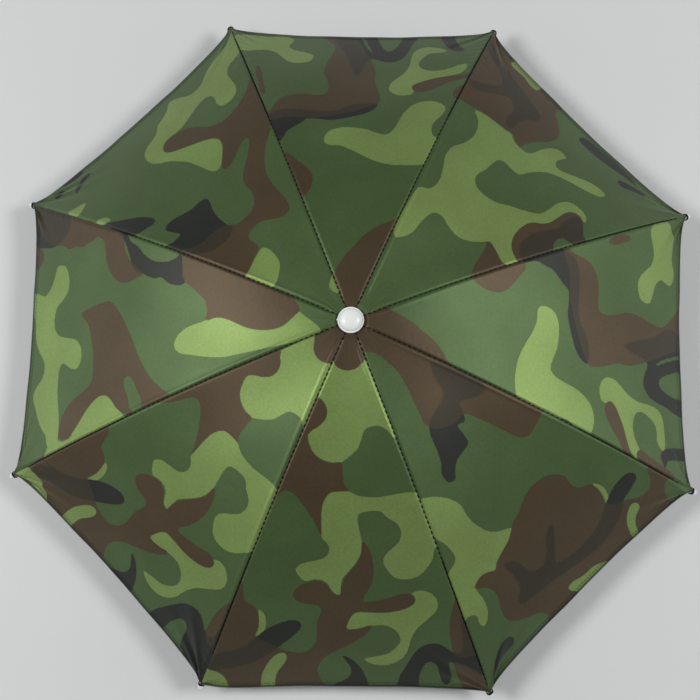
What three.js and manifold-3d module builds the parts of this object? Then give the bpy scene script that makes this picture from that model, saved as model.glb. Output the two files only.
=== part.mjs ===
// Umbrella hat: a dome canopy of eight cloth gores on eight wire ribs, worn on an elastic headband.
// The ribs spread from a top notch and end in small ball tips that hold the cloth's corners. Stretchers
// brace them from a runner on a short shaft, and four bent arms carry the headband from that runner.
// Millimetres, +Z up. The origin is on the axis, in the plane of the headband's lower edge; the wearer
// faces -Y.
import * as THREE from "three";
import { mergeVertices } from "three/addons/utils/BufferGeometryUtils.js";
import Module from "manifold-3d";

const wasm = await Module();
wasm.setup();

// Driving dimensions

const CLEARANCE = 0.3; // between pieces that touch on the real hat

const GORE_COUNT = 8;
const TIP_CIRCLE_RADIUS = 330; // axis to the middle of a tip ball, in plan
const DOME_RISE = 120; // middle of the tip balls to the top of the ribs' curve
const CLOTH_THICKNESS = 1.2;
const CLOTH_SETBACK = 6; // middle of a tip ball to the cloth's corner, in plan
const HEM_DIP = 5; // how far the middle of a hem is cut back from its corners
const HEM_SQUARENESS = 6; // power of the hem's curve: high keeps it straight until close to the tips
const GORE_SAG = 5; // how far the middle of a gore is pulled in at the hem
const SAG_POWER = 1.5; // how the pull grows from the top to the hem

const RIB_RADIUS = 1.3;
const SLEEVE_WALL = 0.7; // of the tips' sleeves and the stretchers' clips round a rib
const TIP_BALL_RADIUS = 2.8;
const TIP_SLEEVE_LENGTH = 11; // middle of the ball to the sleeve's mouth
const TIP_BORE_FLOOR = 2; // middle of the ball to the end of its bore

const STRETCHER_RADIUS = 1.1;
const STRETCHER_REACH = 122; // axis to the middle of the clip on the rib, in plan
const CLIP_LENGTH = 9;

const HEAD_HEIGHT = 104; // headband's lower edge to the underside of the runner
const RUNNER_RADIUS = 13;
const RUNNER_HEIGHT = 15;
const STRETCHER_LEVEL = 10.5; // runner's underside to the middle of the stretchers' sockets
const ARM_LEVEL = 4; // runner's underside to the middle of the arms' slots
const SOCKET_DEPTH = 5; // how far ribs, stretchers and arms enter the notch or the runner
const SHAFT_SHOWING = 18; // runner to notch
const SHAFT_RADIUS = 4;
const SHAFT_WALL = 1;
const NOTCH_RADIUS = 11;
const NOTCH_HEIGHT = 10;

const CAP_RADIUS = 10.7;
const CAP_LIP_HEIGHT = 2.2;
const CAP_LIP_WIDTH = 1.3; // the ledge round the cap's dome
const CAP_DOME_HEIGHT = 4.2;
const CAP_STEM_DEPTH = 9; // how far its stem runs down through the cloth into the shaft
const CAP_EDGE_ROUND = 0.7;

const BAND_HALF_WIDTH = 80; // inside, ear to ear
const BAND_HALF_LENGTH = 98; // inside, forehead to back
const BAND_THICKNESS = 2.5;
const BAND_HEIGHT = 34;
const ARM_COUNT = 4;
const ARM_WIDTH = 9;
const ARM_THICKNESS = 2;
const ARM_FOOT = 8; // headband's lower edge to the arm's end
const ARM_SHOULDER = 60; // height where an arm turns from upright into its bend
const ARM_BEND_START = 20; // axis to the place where an arm leaves the level

// Facets

const CLOTH_STEPS = 14; // from the top to the hem
const CLOTH_STRIPS = 4; // each side of a gore's middle
const RIB_STEPS = 14;
const WIRE_SIDES = 8;
const CLIP_SIDES = 12;
const TURNED_SIDES = 24;
const TIP_SIDES = 10;
const ARC_STEPS = 5;
const ARM_BEND_STEPS = 10;
const BAND_SIDES = 64;

// Sizes that follow

const halfGore = Math.PI / GORE_COUNT;
const sleeveRadius = RIB_RADIUS + CLEARANCE + SLEEVE_WALL;
const clothLift = sleeveRadius + CLEARANCE; // rib's centreline to the cloth's inner face
const shaftBore = SHAFT_RADIUS + CLEARANCE;
const stemRadius = SHAFT_RADIUS - SHAFT_WALL - CLEARANCE;
const runnerTop = HEAD_HEIGHT + RUNNER_HEIGHT;
const notchBottom = runnerTop + SHAFT_SHOWING;
const notchTop = notchBottom + NOTCH_HEIGHT;
const notchCornerReach = NOTCH_RADIUS / Math.cos(halfGore); // a gore's middle lies nearer the axis than its seams
const domeFall = DOME_RISE * (notchCornerReach / TIP_CIRCLE_RADIUS) ** 2;
const tipHeight = notchTop + CLEARANCE + domeFall - clothLift - DOME_RISE;
const clothTop = tipHeight + DOME_RISE + clothLift + CLOTH_THICKNESS;

// The dome

const ribHeight = (r) => tipHeight + DOME_RISE * (1 - (r / TIP_CIRCLE_RADIUS) ** 2);
const ribSlope = (r) => (-2 * DOME_RISE * r) / TIP_CIRCLE_RADIUS ** 2;
const tipSlope = ribSlope(TIP_CIRCLE_RADIUS);

// The point that stands `lift` off a rib's centreline, above plan radius r, as radius and height
function domePoint(r, lift) {
  const slope = ribSlope(r);
  const length = Math.hypot(1, slope);
  return [r - (lift * slope) / length, ribHeight(r) + lift / length];
}

// Plan radius, along the ribs, at which the hem cuts a gore; across runs from -1 to 1 between its seams
function hemRadius(across) {
  const corner = TIP_CIRCLE_RADIUS - CLOTH_SETBACK;
  return corner - HEM_DIP * (1 - Math.abs(across) ** HEM_SQUARENESS);
}

// A point of a gore whose middle lies along +X
function clothPoint(r, across, lift) {
  const [radius, height] = domePoint(r, lift);
  const slope = ribSlope(r);
  const length = Math.hypot(1, slope);
  const halfSeam = CLEARANCE / 2;
  const sag = GORE_SAG * (r / TIP_CIRCLE_RADIUS) ** SAG_POWER * (1 - across ** 2);
  const outward = radius * Math.cos(halfGore) + halfSeam * Math.sin(halfGore);
  const sideways = radius * Math.sin(halfGore) - halfSeam * Math.cos(halfGore);
  return new THREE.Vector3(
    outward + (sag * slope) / length,
    across * sideways,
    height - sag / length,
  );
}

// Solids

// A closed wall between two grids of points with the same rows and columns, its upper face first
function wallSolid(upper, lower) {
  const rows = upper.length;
  const columns = upper[0].length;
  const points = [...upper.flat(), ...lower.flat()];
  const at = (face, i, j) => face * rows * columns + i * columns + j;
  const faces = [];
  const quad = (a, b, c, d) => faces.push(a, b, c, a, c, d);
  for (let i = 0; i < rows - 1; i++) {
    for (let j = 0; j < columns - 1; j++) {
      quad(at(0, i, j), at(0, i + 1, j), at(0, i + 1, j + 1), at(0, i, j + 1));
      quad(at(1, i, j), at(1, i, j + 1), at(1, i + 1, j + 1), at(1, i + 1, j));
    }
  }
  const lastRow = rows - 1;
  const lastColumn = columns - 1;
  for (let i = 0; i < lastRow; i++) {
    quad(at(0, i, 0), at(1, i, 0), at(1, i + 1, 0), at(0, i + 1, 0));
    quad(at(0, i, lastColumn), at(0, i + 1, lastColumn), at(1, i + 1, lastColumn), at(1, i, lastColumn));
  }
  for (let j = 0; j < lastColumn; j++) {
    quad(at(0, 0, j), at(0, 0, j + 1), at(1, 0, j + 1), at(1, 0, j));
    quad(at(0, lastRow, j), at(1, lastRow, j), at(1, lastRow, j + 1), at(0, lastRow, j + 1));
  }
  return new THREE.BufferGeometry().setFromPoints(points).setIndex(faces);
}

// A profile of [radius, height] turned about Z
function turned(profile, sides = TURNED_SIDES) {
  const points = profile.map(([radius, height]) => new THREE.Vector2(radius, height));
  return new THREE.LatheGeometry(points, sides).rotateX(Math.PI / 2);
}

// A round wire along a curve
function wire(curve, radius, steps) {
  const section = new THREE.Shape().absarc(0, 0, radius, 0, 2 * Math.PI);
  return new THREE.ExtrudeGeometry(section, {
    extrudePath: curve,
    steps,
    curveSegments: WIRE_SIDES / 2,
    bevelEnabled: false,
  });
}

function asSolid(geometry) {
  const bare = geometry.clone();
  bare.deleteAttribute("normal");
  bare.deleteAttribute("uv");
  const merged = mergeVertices(bare, 1e-4);
  return new wasm.Manifold(
    new wasm.Mesh({
      numProp: 3,
      vertProperties: merged.attributes.position.array,
      triVerts: new Uint32Array(merged.index.array),
    }),
  );
}

function asGeometry(solid) {
  const mesh = solid.getMesh();
  return new THREE.BufferGeometry()
    .setAttribute("position", new THREE.BufferAttribute(mesh.vertProperties, 3))
    .setIndex(new THREE.BufferAttribute(mesh.triVerts, 1));
}

function cutBy(body, tools) {
  return asGeometry(tools.reduce((left, tool) => left.subtract(asSolid(tool)), asSolid(body)));
}

const joined = (first, second) => asGeometry(asSolid(first).add(asSolid(second)));

// A rib's centreline in the XZ plane
class RibCurve extends THREE.Curve {
  constructor(start, end) {
    super();
    this.start = start;
    this.end = end;
  }

  getPoint(share, target = new THREE.Vector3()) {
    const r = THREE.MathUtils.lerp(this.start, this.end, share);
    return target.set(r, 0, ribHeight(r));
  }
}

const ribAngles = Array.from({ length: GORE_COUNT }, (_, k) => (2 * k + 1) * halfGore);
const goreAngles = Array.from({ length: GORE_COUNT }, (_, k) => 2 * k * halfGore);
const armAngles = Array.from({ length: ARM_COUNT }, (_, k) => (2 * Math.PI * k) / ARM_COUNT);

// Sub-parts, each as a geometry in its own plane

function gore() {
  const across = [];
  for (let j = -CLOTH_STRIPS; j <= CLOTH_STRIPS; j++) across.push(Math.sin((Math.PI / 2) * (j / CLOTH_STRIPS)));
  const hole = stemRadius + 2 * CLEARANCE;
  const face = (lift) =>
    Array.from({ length: CLOTH_STEPS + 1 }, (_, i) =>
      across.map((a) => clothPoint(THREE.MathUtils.lerp(hole, hemRadius(a), i / CLOTH_STEPS), a, lift)),
    );
  return wallSolid(face(clothLift + CLOTH_THICKNESS), face(clothLift));
}

function rib(radius = RIB_RADIUS) {
  const start = NOTCH_RADIUS - SOCKET_DEPTH;
  const end = TIP_CIRCLE_RADIUS - (TIP_BORE_FLOOR + CLEARANCE) / Math.hypot(1, tipSlope);
  return wire(new RibCurve(start, end), radius, RIB_STEPS);
}

function ribTip() {
  const bore = RIB_RADIUS + CLEARANCE;
  const joint = Math.asin(sleeveRadius / TIP_BALL_RADIUS); // where the sleeve meets the ball, from the ball's back
  const profile = [
    [0, -TIP_BORE_FLOOR],
    [bore, -TIP_BORE_FLOOR],
    [bore, -TIP_SLEEVE_LENGTH],
    [sleeveRadius, -TIP_SLEEVE_LENGTH],
  ];
  for (let i = 0; i <= ARC_STEPS; i++) {
    const angle = THREE.MathUtils.lerp(joint, Math.PI, i / ARC_STEPS);
    profile.push([TIP_BALL_RADIUS * Math.sin(angle), -TIP_BALL_RADIUS * Math.cos(angle)]);
  }
  profile[profile.length - 1][0] = 0;
  return turned(profile, TIP_SIDES)
    .rotateY(Math.PI / 2 - Math.atan(tipSlope))
    .translate(TIP_CIRCLE_RADIUS, 0, tipHeight);
}

const stretcherSocketHeight = HEAD_HEIGHT + STRETCHER_LEVEL;

function stretcherWire(radius) {
  const start = new THREE.Vector3(RUNNER_RADIUS - SOCKET_DEPTH, 0, stretcherSocketHeight);
  const end = new THREE.Vector3(STRETCHER_REACH, 0, ribHeight(STRETCHER_REACH));
  return wire(new THREE.LineCurve3(start, end), radius, 1);
}

function stretcher() {
  const clip = new THREE.CylinderGeometry(sleeveRadius, sleeveRadius, CLIP_LENGTH, CLIP_SIDES)
    .rotateZ(Math.PI / 2)
    .rotateY(-Math.atan(ribSlope(STRETCHER_REACH)))
    .translate(STRETCHER_REACH, 0, ribHeight(STRETCHER_REACH));
  return cutBy(joined(stretcherWire(STRETCHER_RADIUS), clip), [rib(RIB_RADIUS + CLEARANCE)]);
}

// The arm's middle line in its own plane: level, then a quarter of an ellipse, then straight down
function armLine(bandReach) {
  const level = HEAD_HEIGHT + ARM_LEVEL;
  const line = [new THREE.Vector2(RUNNER_RADIUS - SOCKET_DEPTH, level)];
  for (let i = 0; i <= ARM_BEND_STEPS; i++) {
    const angle = (Math.PI / 2) * (1 - i / ARM_BEND_STEPS);
    line.push(
      new THREE.Vector2(
        ARM_BEND_START + (bandReach - ARM_BEND_START) * Math.cos(angle),
        ARM_SHOULDER + (level - ARM_SHOULDER) * Math.sin(angle),
      ),
    );
  }
  line.push(new THREE.Vector2(bandReach, ARM_FOOT));
  return line;
}

// An arm to a band whose outside lies bandOutside from the axis, grown on every side by `extra`
function arm(bandOutside, extra = 0) {
  const line = armLine(bandOutside + CLEARANCE + ARM_THICKNESS / 2);
  const half = ARM_THICKNESS / 2 + extra;
  const normals = line.map((_, i) => {
    const before = line[Math.max(i - 1, 0)];
    const after = line[Math.min(i + 1, line.length - 1)];
    const along = after.clone().sub(before).normalize();
    return new THREE.Vector2(-along.y, along.x);
  });
  const upper = line.map((p, i) => p.clone().addScaledVector(normals[i], half));
  const lower = line.map((p, i) => p.clone().addScaledVector(normals[i], -half));
  const outline = new THREE.Shape([...upper, ...lower.reverse()]);
  const width = ARM_WIDTH + 2 * extra;
  return new THREE.ExtrudeGeometry(outline, { depth: width, bevelEnabled: false })
    .translate(0, 0, -width / 2)
    .rotateX(Math.PI / 2);
}

const armBandReach = (angle) =>
  BAND_THICKNESS + Math.abs(BAND_HALF_WIDTH * Math.cos(angle)) + Math.abs(BAND_HALF_LENGTH * Math.sin(angle));

function ring(outer, inner, bottom, top) {
  return turned([
    [outer, bottom],
    [outer, top],
    [inner, top],
    [inner, bottom],
    [outer, bottom],
  ]);
}

function topNotch() {
  const sockets = ribAngles.map((angle) => rib(RIB_RADIUS + CLEARANCE).rotateZ(angle));
  return cutBy(ring(NOTCH_RADIUS, shaftBore, notchBottom, notchTop), sockets);
}

function runner() {
  const round = ribAngles.map((angle) => stretcherWire(STRETCHER_RADIUS + CLEARANCE).rotateZ(angle));
  const flat = armAngles.map((angle) => arm(armBandReach(angle), CLEARANCE).rotateZ(angle));
  return cutBy(ring(RUNNER_RADIUS, shaftBore, HEAD_HEIGHT, runnerTop), [...round, ...flat]);
}

const shaft = () => ring(SHAFT_RADIUS, SHAFT_RADIUS - SHAFT_WALL, HEAD_HEIGHT, notchTop);

function cap() {
  const bottom = clothTop + CLEARANCE;
  const ledge = bottom + CAP_LIP_HEIGHT;
  const domeRadius = CAP_RADIUS - CAP_LIP_WIDTH;
  const profile = [
    [0, bottom - CAP_STEM_DEPTH],
    [stemRadius, bottom - CAP_STEM_DEPTH],
    [stemRadius, bottom],
    [CAP_RADIUS, bottom],
    [CAP_RADIUS, ledge - CAP_EDGE_ROUND],
    [CAP_RADIUS - CAP_EDGE_ROUND, ledge],
    [domeRadius, ledge],
  ];
  for (let i = 1; i <= ARC_STEPS; i++) {
    const angle = (Math.PI / 2) * (i / ARC_STEPS);
    profile.push([domeRadius * Math.cos(angle), ledge + CAP_DOME_HEIGHT * Math.sin(angle)]);
  }
  profile[profile.length - 1][0] = 0;
  return turned(profile);
}

function headband() {
  const outline = new THREE.Shape().absellipse(
    0,
    0,
    BAND_HALF_WIDTH + BAND_THICKNESS,
    BAND_HALF_LENGTH + BAND_THICKNESS,
    0,
    2 * Math.PI,
  );
  outline.holes.push(new THREE.Path().absellipse(0, 0, BAND_HALF_WIDTH, BAND_HALF_LENGTH, 0, 2 * Math.PI, true));
  return new THREE.ExtrudeGeometry(outline, {
    depth: BAND_HEIGHT,
    curveSegments: BAND_SIDES / 2,
    bevelEnabled: false,
  });
}

// Finishes

const cloth = new THREE.MeshStandardMaterial({ color: 0x4c6337, roughness: 0.7 });
const whitePlastic = new THREE.MeshStandardMaterial({ color: 0xe9eae6, roughness: 0.3 });
const steel = new THREE.MeshStandardMaterial({ color: 0x9a9c9e, roughness: 0.35, metalness: 1 });
const blackPlastic = new THREE.MeshStandardMaterial({ color: 0x1d1e1f, roughness: 0.45 });
const elastic = new THREE.MeshStandardMaterial({ color: 0x17181a, roughness: 0.9 });

// The assembly

const hat = new THREE.Group();

function place(name, geometry, material, angle = 0) {
  const mesh = new THREE.Mesh(geometry, material);
  mesh.name = name;
  mesh.rotation.z = angle;
  hat.add(mesh);
}

goreAngles.forEach((angle, k) => place(`gore_${k + 1}`, gore(), cloth, angle));
ribAngles.forEach((angle, k) => {
  place(`rib_${k + 1}`, rib(), steel, angle);
  place(`rib_tip_${k + 1}`, ribTip(), whitePlastic, angle);
  place(`stretcher_${k + 1}`, stretcher(), steel, angle);
});
armAngles.forEach((angle, k) => place(`band_arm_${k + 1}`, arm(armBandReach(angle)), blackPlastic, angle));
place("cap", cap(), whitePlastic);
place("top_notch", topNotch(), whitePlastic);
place("shaft", shaft(), steel);
place("runner", runner(), whitePlastic);
place("headband", headband(), elastic);

export default hat;
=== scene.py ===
import math

import bmesh
import bpy
import numpy as np
from mathutils import Matrix, Vector


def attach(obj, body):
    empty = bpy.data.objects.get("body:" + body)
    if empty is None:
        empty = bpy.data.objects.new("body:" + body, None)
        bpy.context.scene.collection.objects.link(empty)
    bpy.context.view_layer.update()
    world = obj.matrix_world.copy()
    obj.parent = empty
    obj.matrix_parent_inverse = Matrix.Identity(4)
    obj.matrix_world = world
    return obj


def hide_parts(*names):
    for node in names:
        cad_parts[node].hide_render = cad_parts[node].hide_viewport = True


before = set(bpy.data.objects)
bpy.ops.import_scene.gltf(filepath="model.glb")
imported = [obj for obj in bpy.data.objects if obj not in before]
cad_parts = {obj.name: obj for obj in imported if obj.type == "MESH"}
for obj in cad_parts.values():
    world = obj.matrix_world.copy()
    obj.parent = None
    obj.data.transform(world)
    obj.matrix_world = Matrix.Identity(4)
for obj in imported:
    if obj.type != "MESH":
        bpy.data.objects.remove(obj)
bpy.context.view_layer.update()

# Umbrella hat with a woodland camouflage canopy. Lengths are in millimetres until a mesh is made. The
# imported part's frame holds: the axis is Z, the headband's lower edge lies at height 0 and the wearer
# faces -Y. Each gore is worked out with its middle along +X and then turned to its place.

MM = 0.001

GORE_COUNT = 8
HALF_GORE = math.pi / GORE_COUNT
TIP_CIRCLE_RADIUS = 330.0
DOME_RISE = 120.0
TIP_HEIGHT = 24.856  # of the tip balls' middles
CLOTH_OUTER = 3.8  # from a rib's centreline to the cloth's outer face
CLOTH_THICKNESS = 0.4
HOLE_RADIUS = 3.3
CLOTH_SETBACK = 6.0
CORNER_RADIUS = TIP_CIRCLE_RADIUS - CLOTH_SETBACK
HEM_DIPS = (5.0, 5.0, 4.0, 5.0, 4.0, 3.4, -3.4, 3.6)  # at the middle of gore_1 to gore_8
HEM_LEANS = (0.0, 0.0, 0.0, 0.0, 0.0, 0.0, -4.0, 0.0)  # how much farther out the counterclockwise half is
HEM_LEAN_POWER = 8
HEM_SQUARENESS = 10
CORNER_EAR = 2.6  # how far a corner is drawn out towards its tip ball
EAR_SHARPNESS = 36
GORE_SAG = 5.0
SAG_POWER = 1.5

RIB_RADIUS = 1.3
TIP_BALL_RADIUS = 2.8
SLEEVE_RADIUS = 2.3
STRETCHER_RADIUS = 1.1
STRETCHER_REACH = 122.0
HEAD_HEIGHT = 104.0  # underside of the runner
RUNNER_RADIUS = 13.0
RUNNER_HEIGHT = 15.0
SHAFT_RADIUS = 4.0
NOTCH_RADIUS = 11.0
NOTCH_BOTTOM = 137.0
NOTCH_HEIGHT = 10.0
CAP_RADIUS = 10.7
CAP_BOTTOM = 148.956
BAND_HALF_WIDTH = 80.0
BAND_HALF_LENGTH = 98.0
BAND_THICKNESS = 2.5
BAND_HEIGHT = 34.0
ARM_WIDTH = 9.0
ARM_THICKNESS = 2.0

RIB_ANGLES = [(2 * k + 1) * HALF_GORE for k in range(GORE_COUNT)]
GORE_ANGLES = [2 * k * HALF_GORE for k in range(GORE_COUNT)]
ARM_ANGLES = [k * math.pi / 2 for k in range(4)]

# The print, charted on each gore laid flat: x is the place across times the share of the gore's
# length, y that share, both in hundredths, with x growing counterclockwise seen from above.

HALF_HEM = 126.3  # mm for x = 100
GORE_LENGTH = 358.0  # mm for y = 100
INKS = ("green", "light", "brown", "black")

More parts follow.
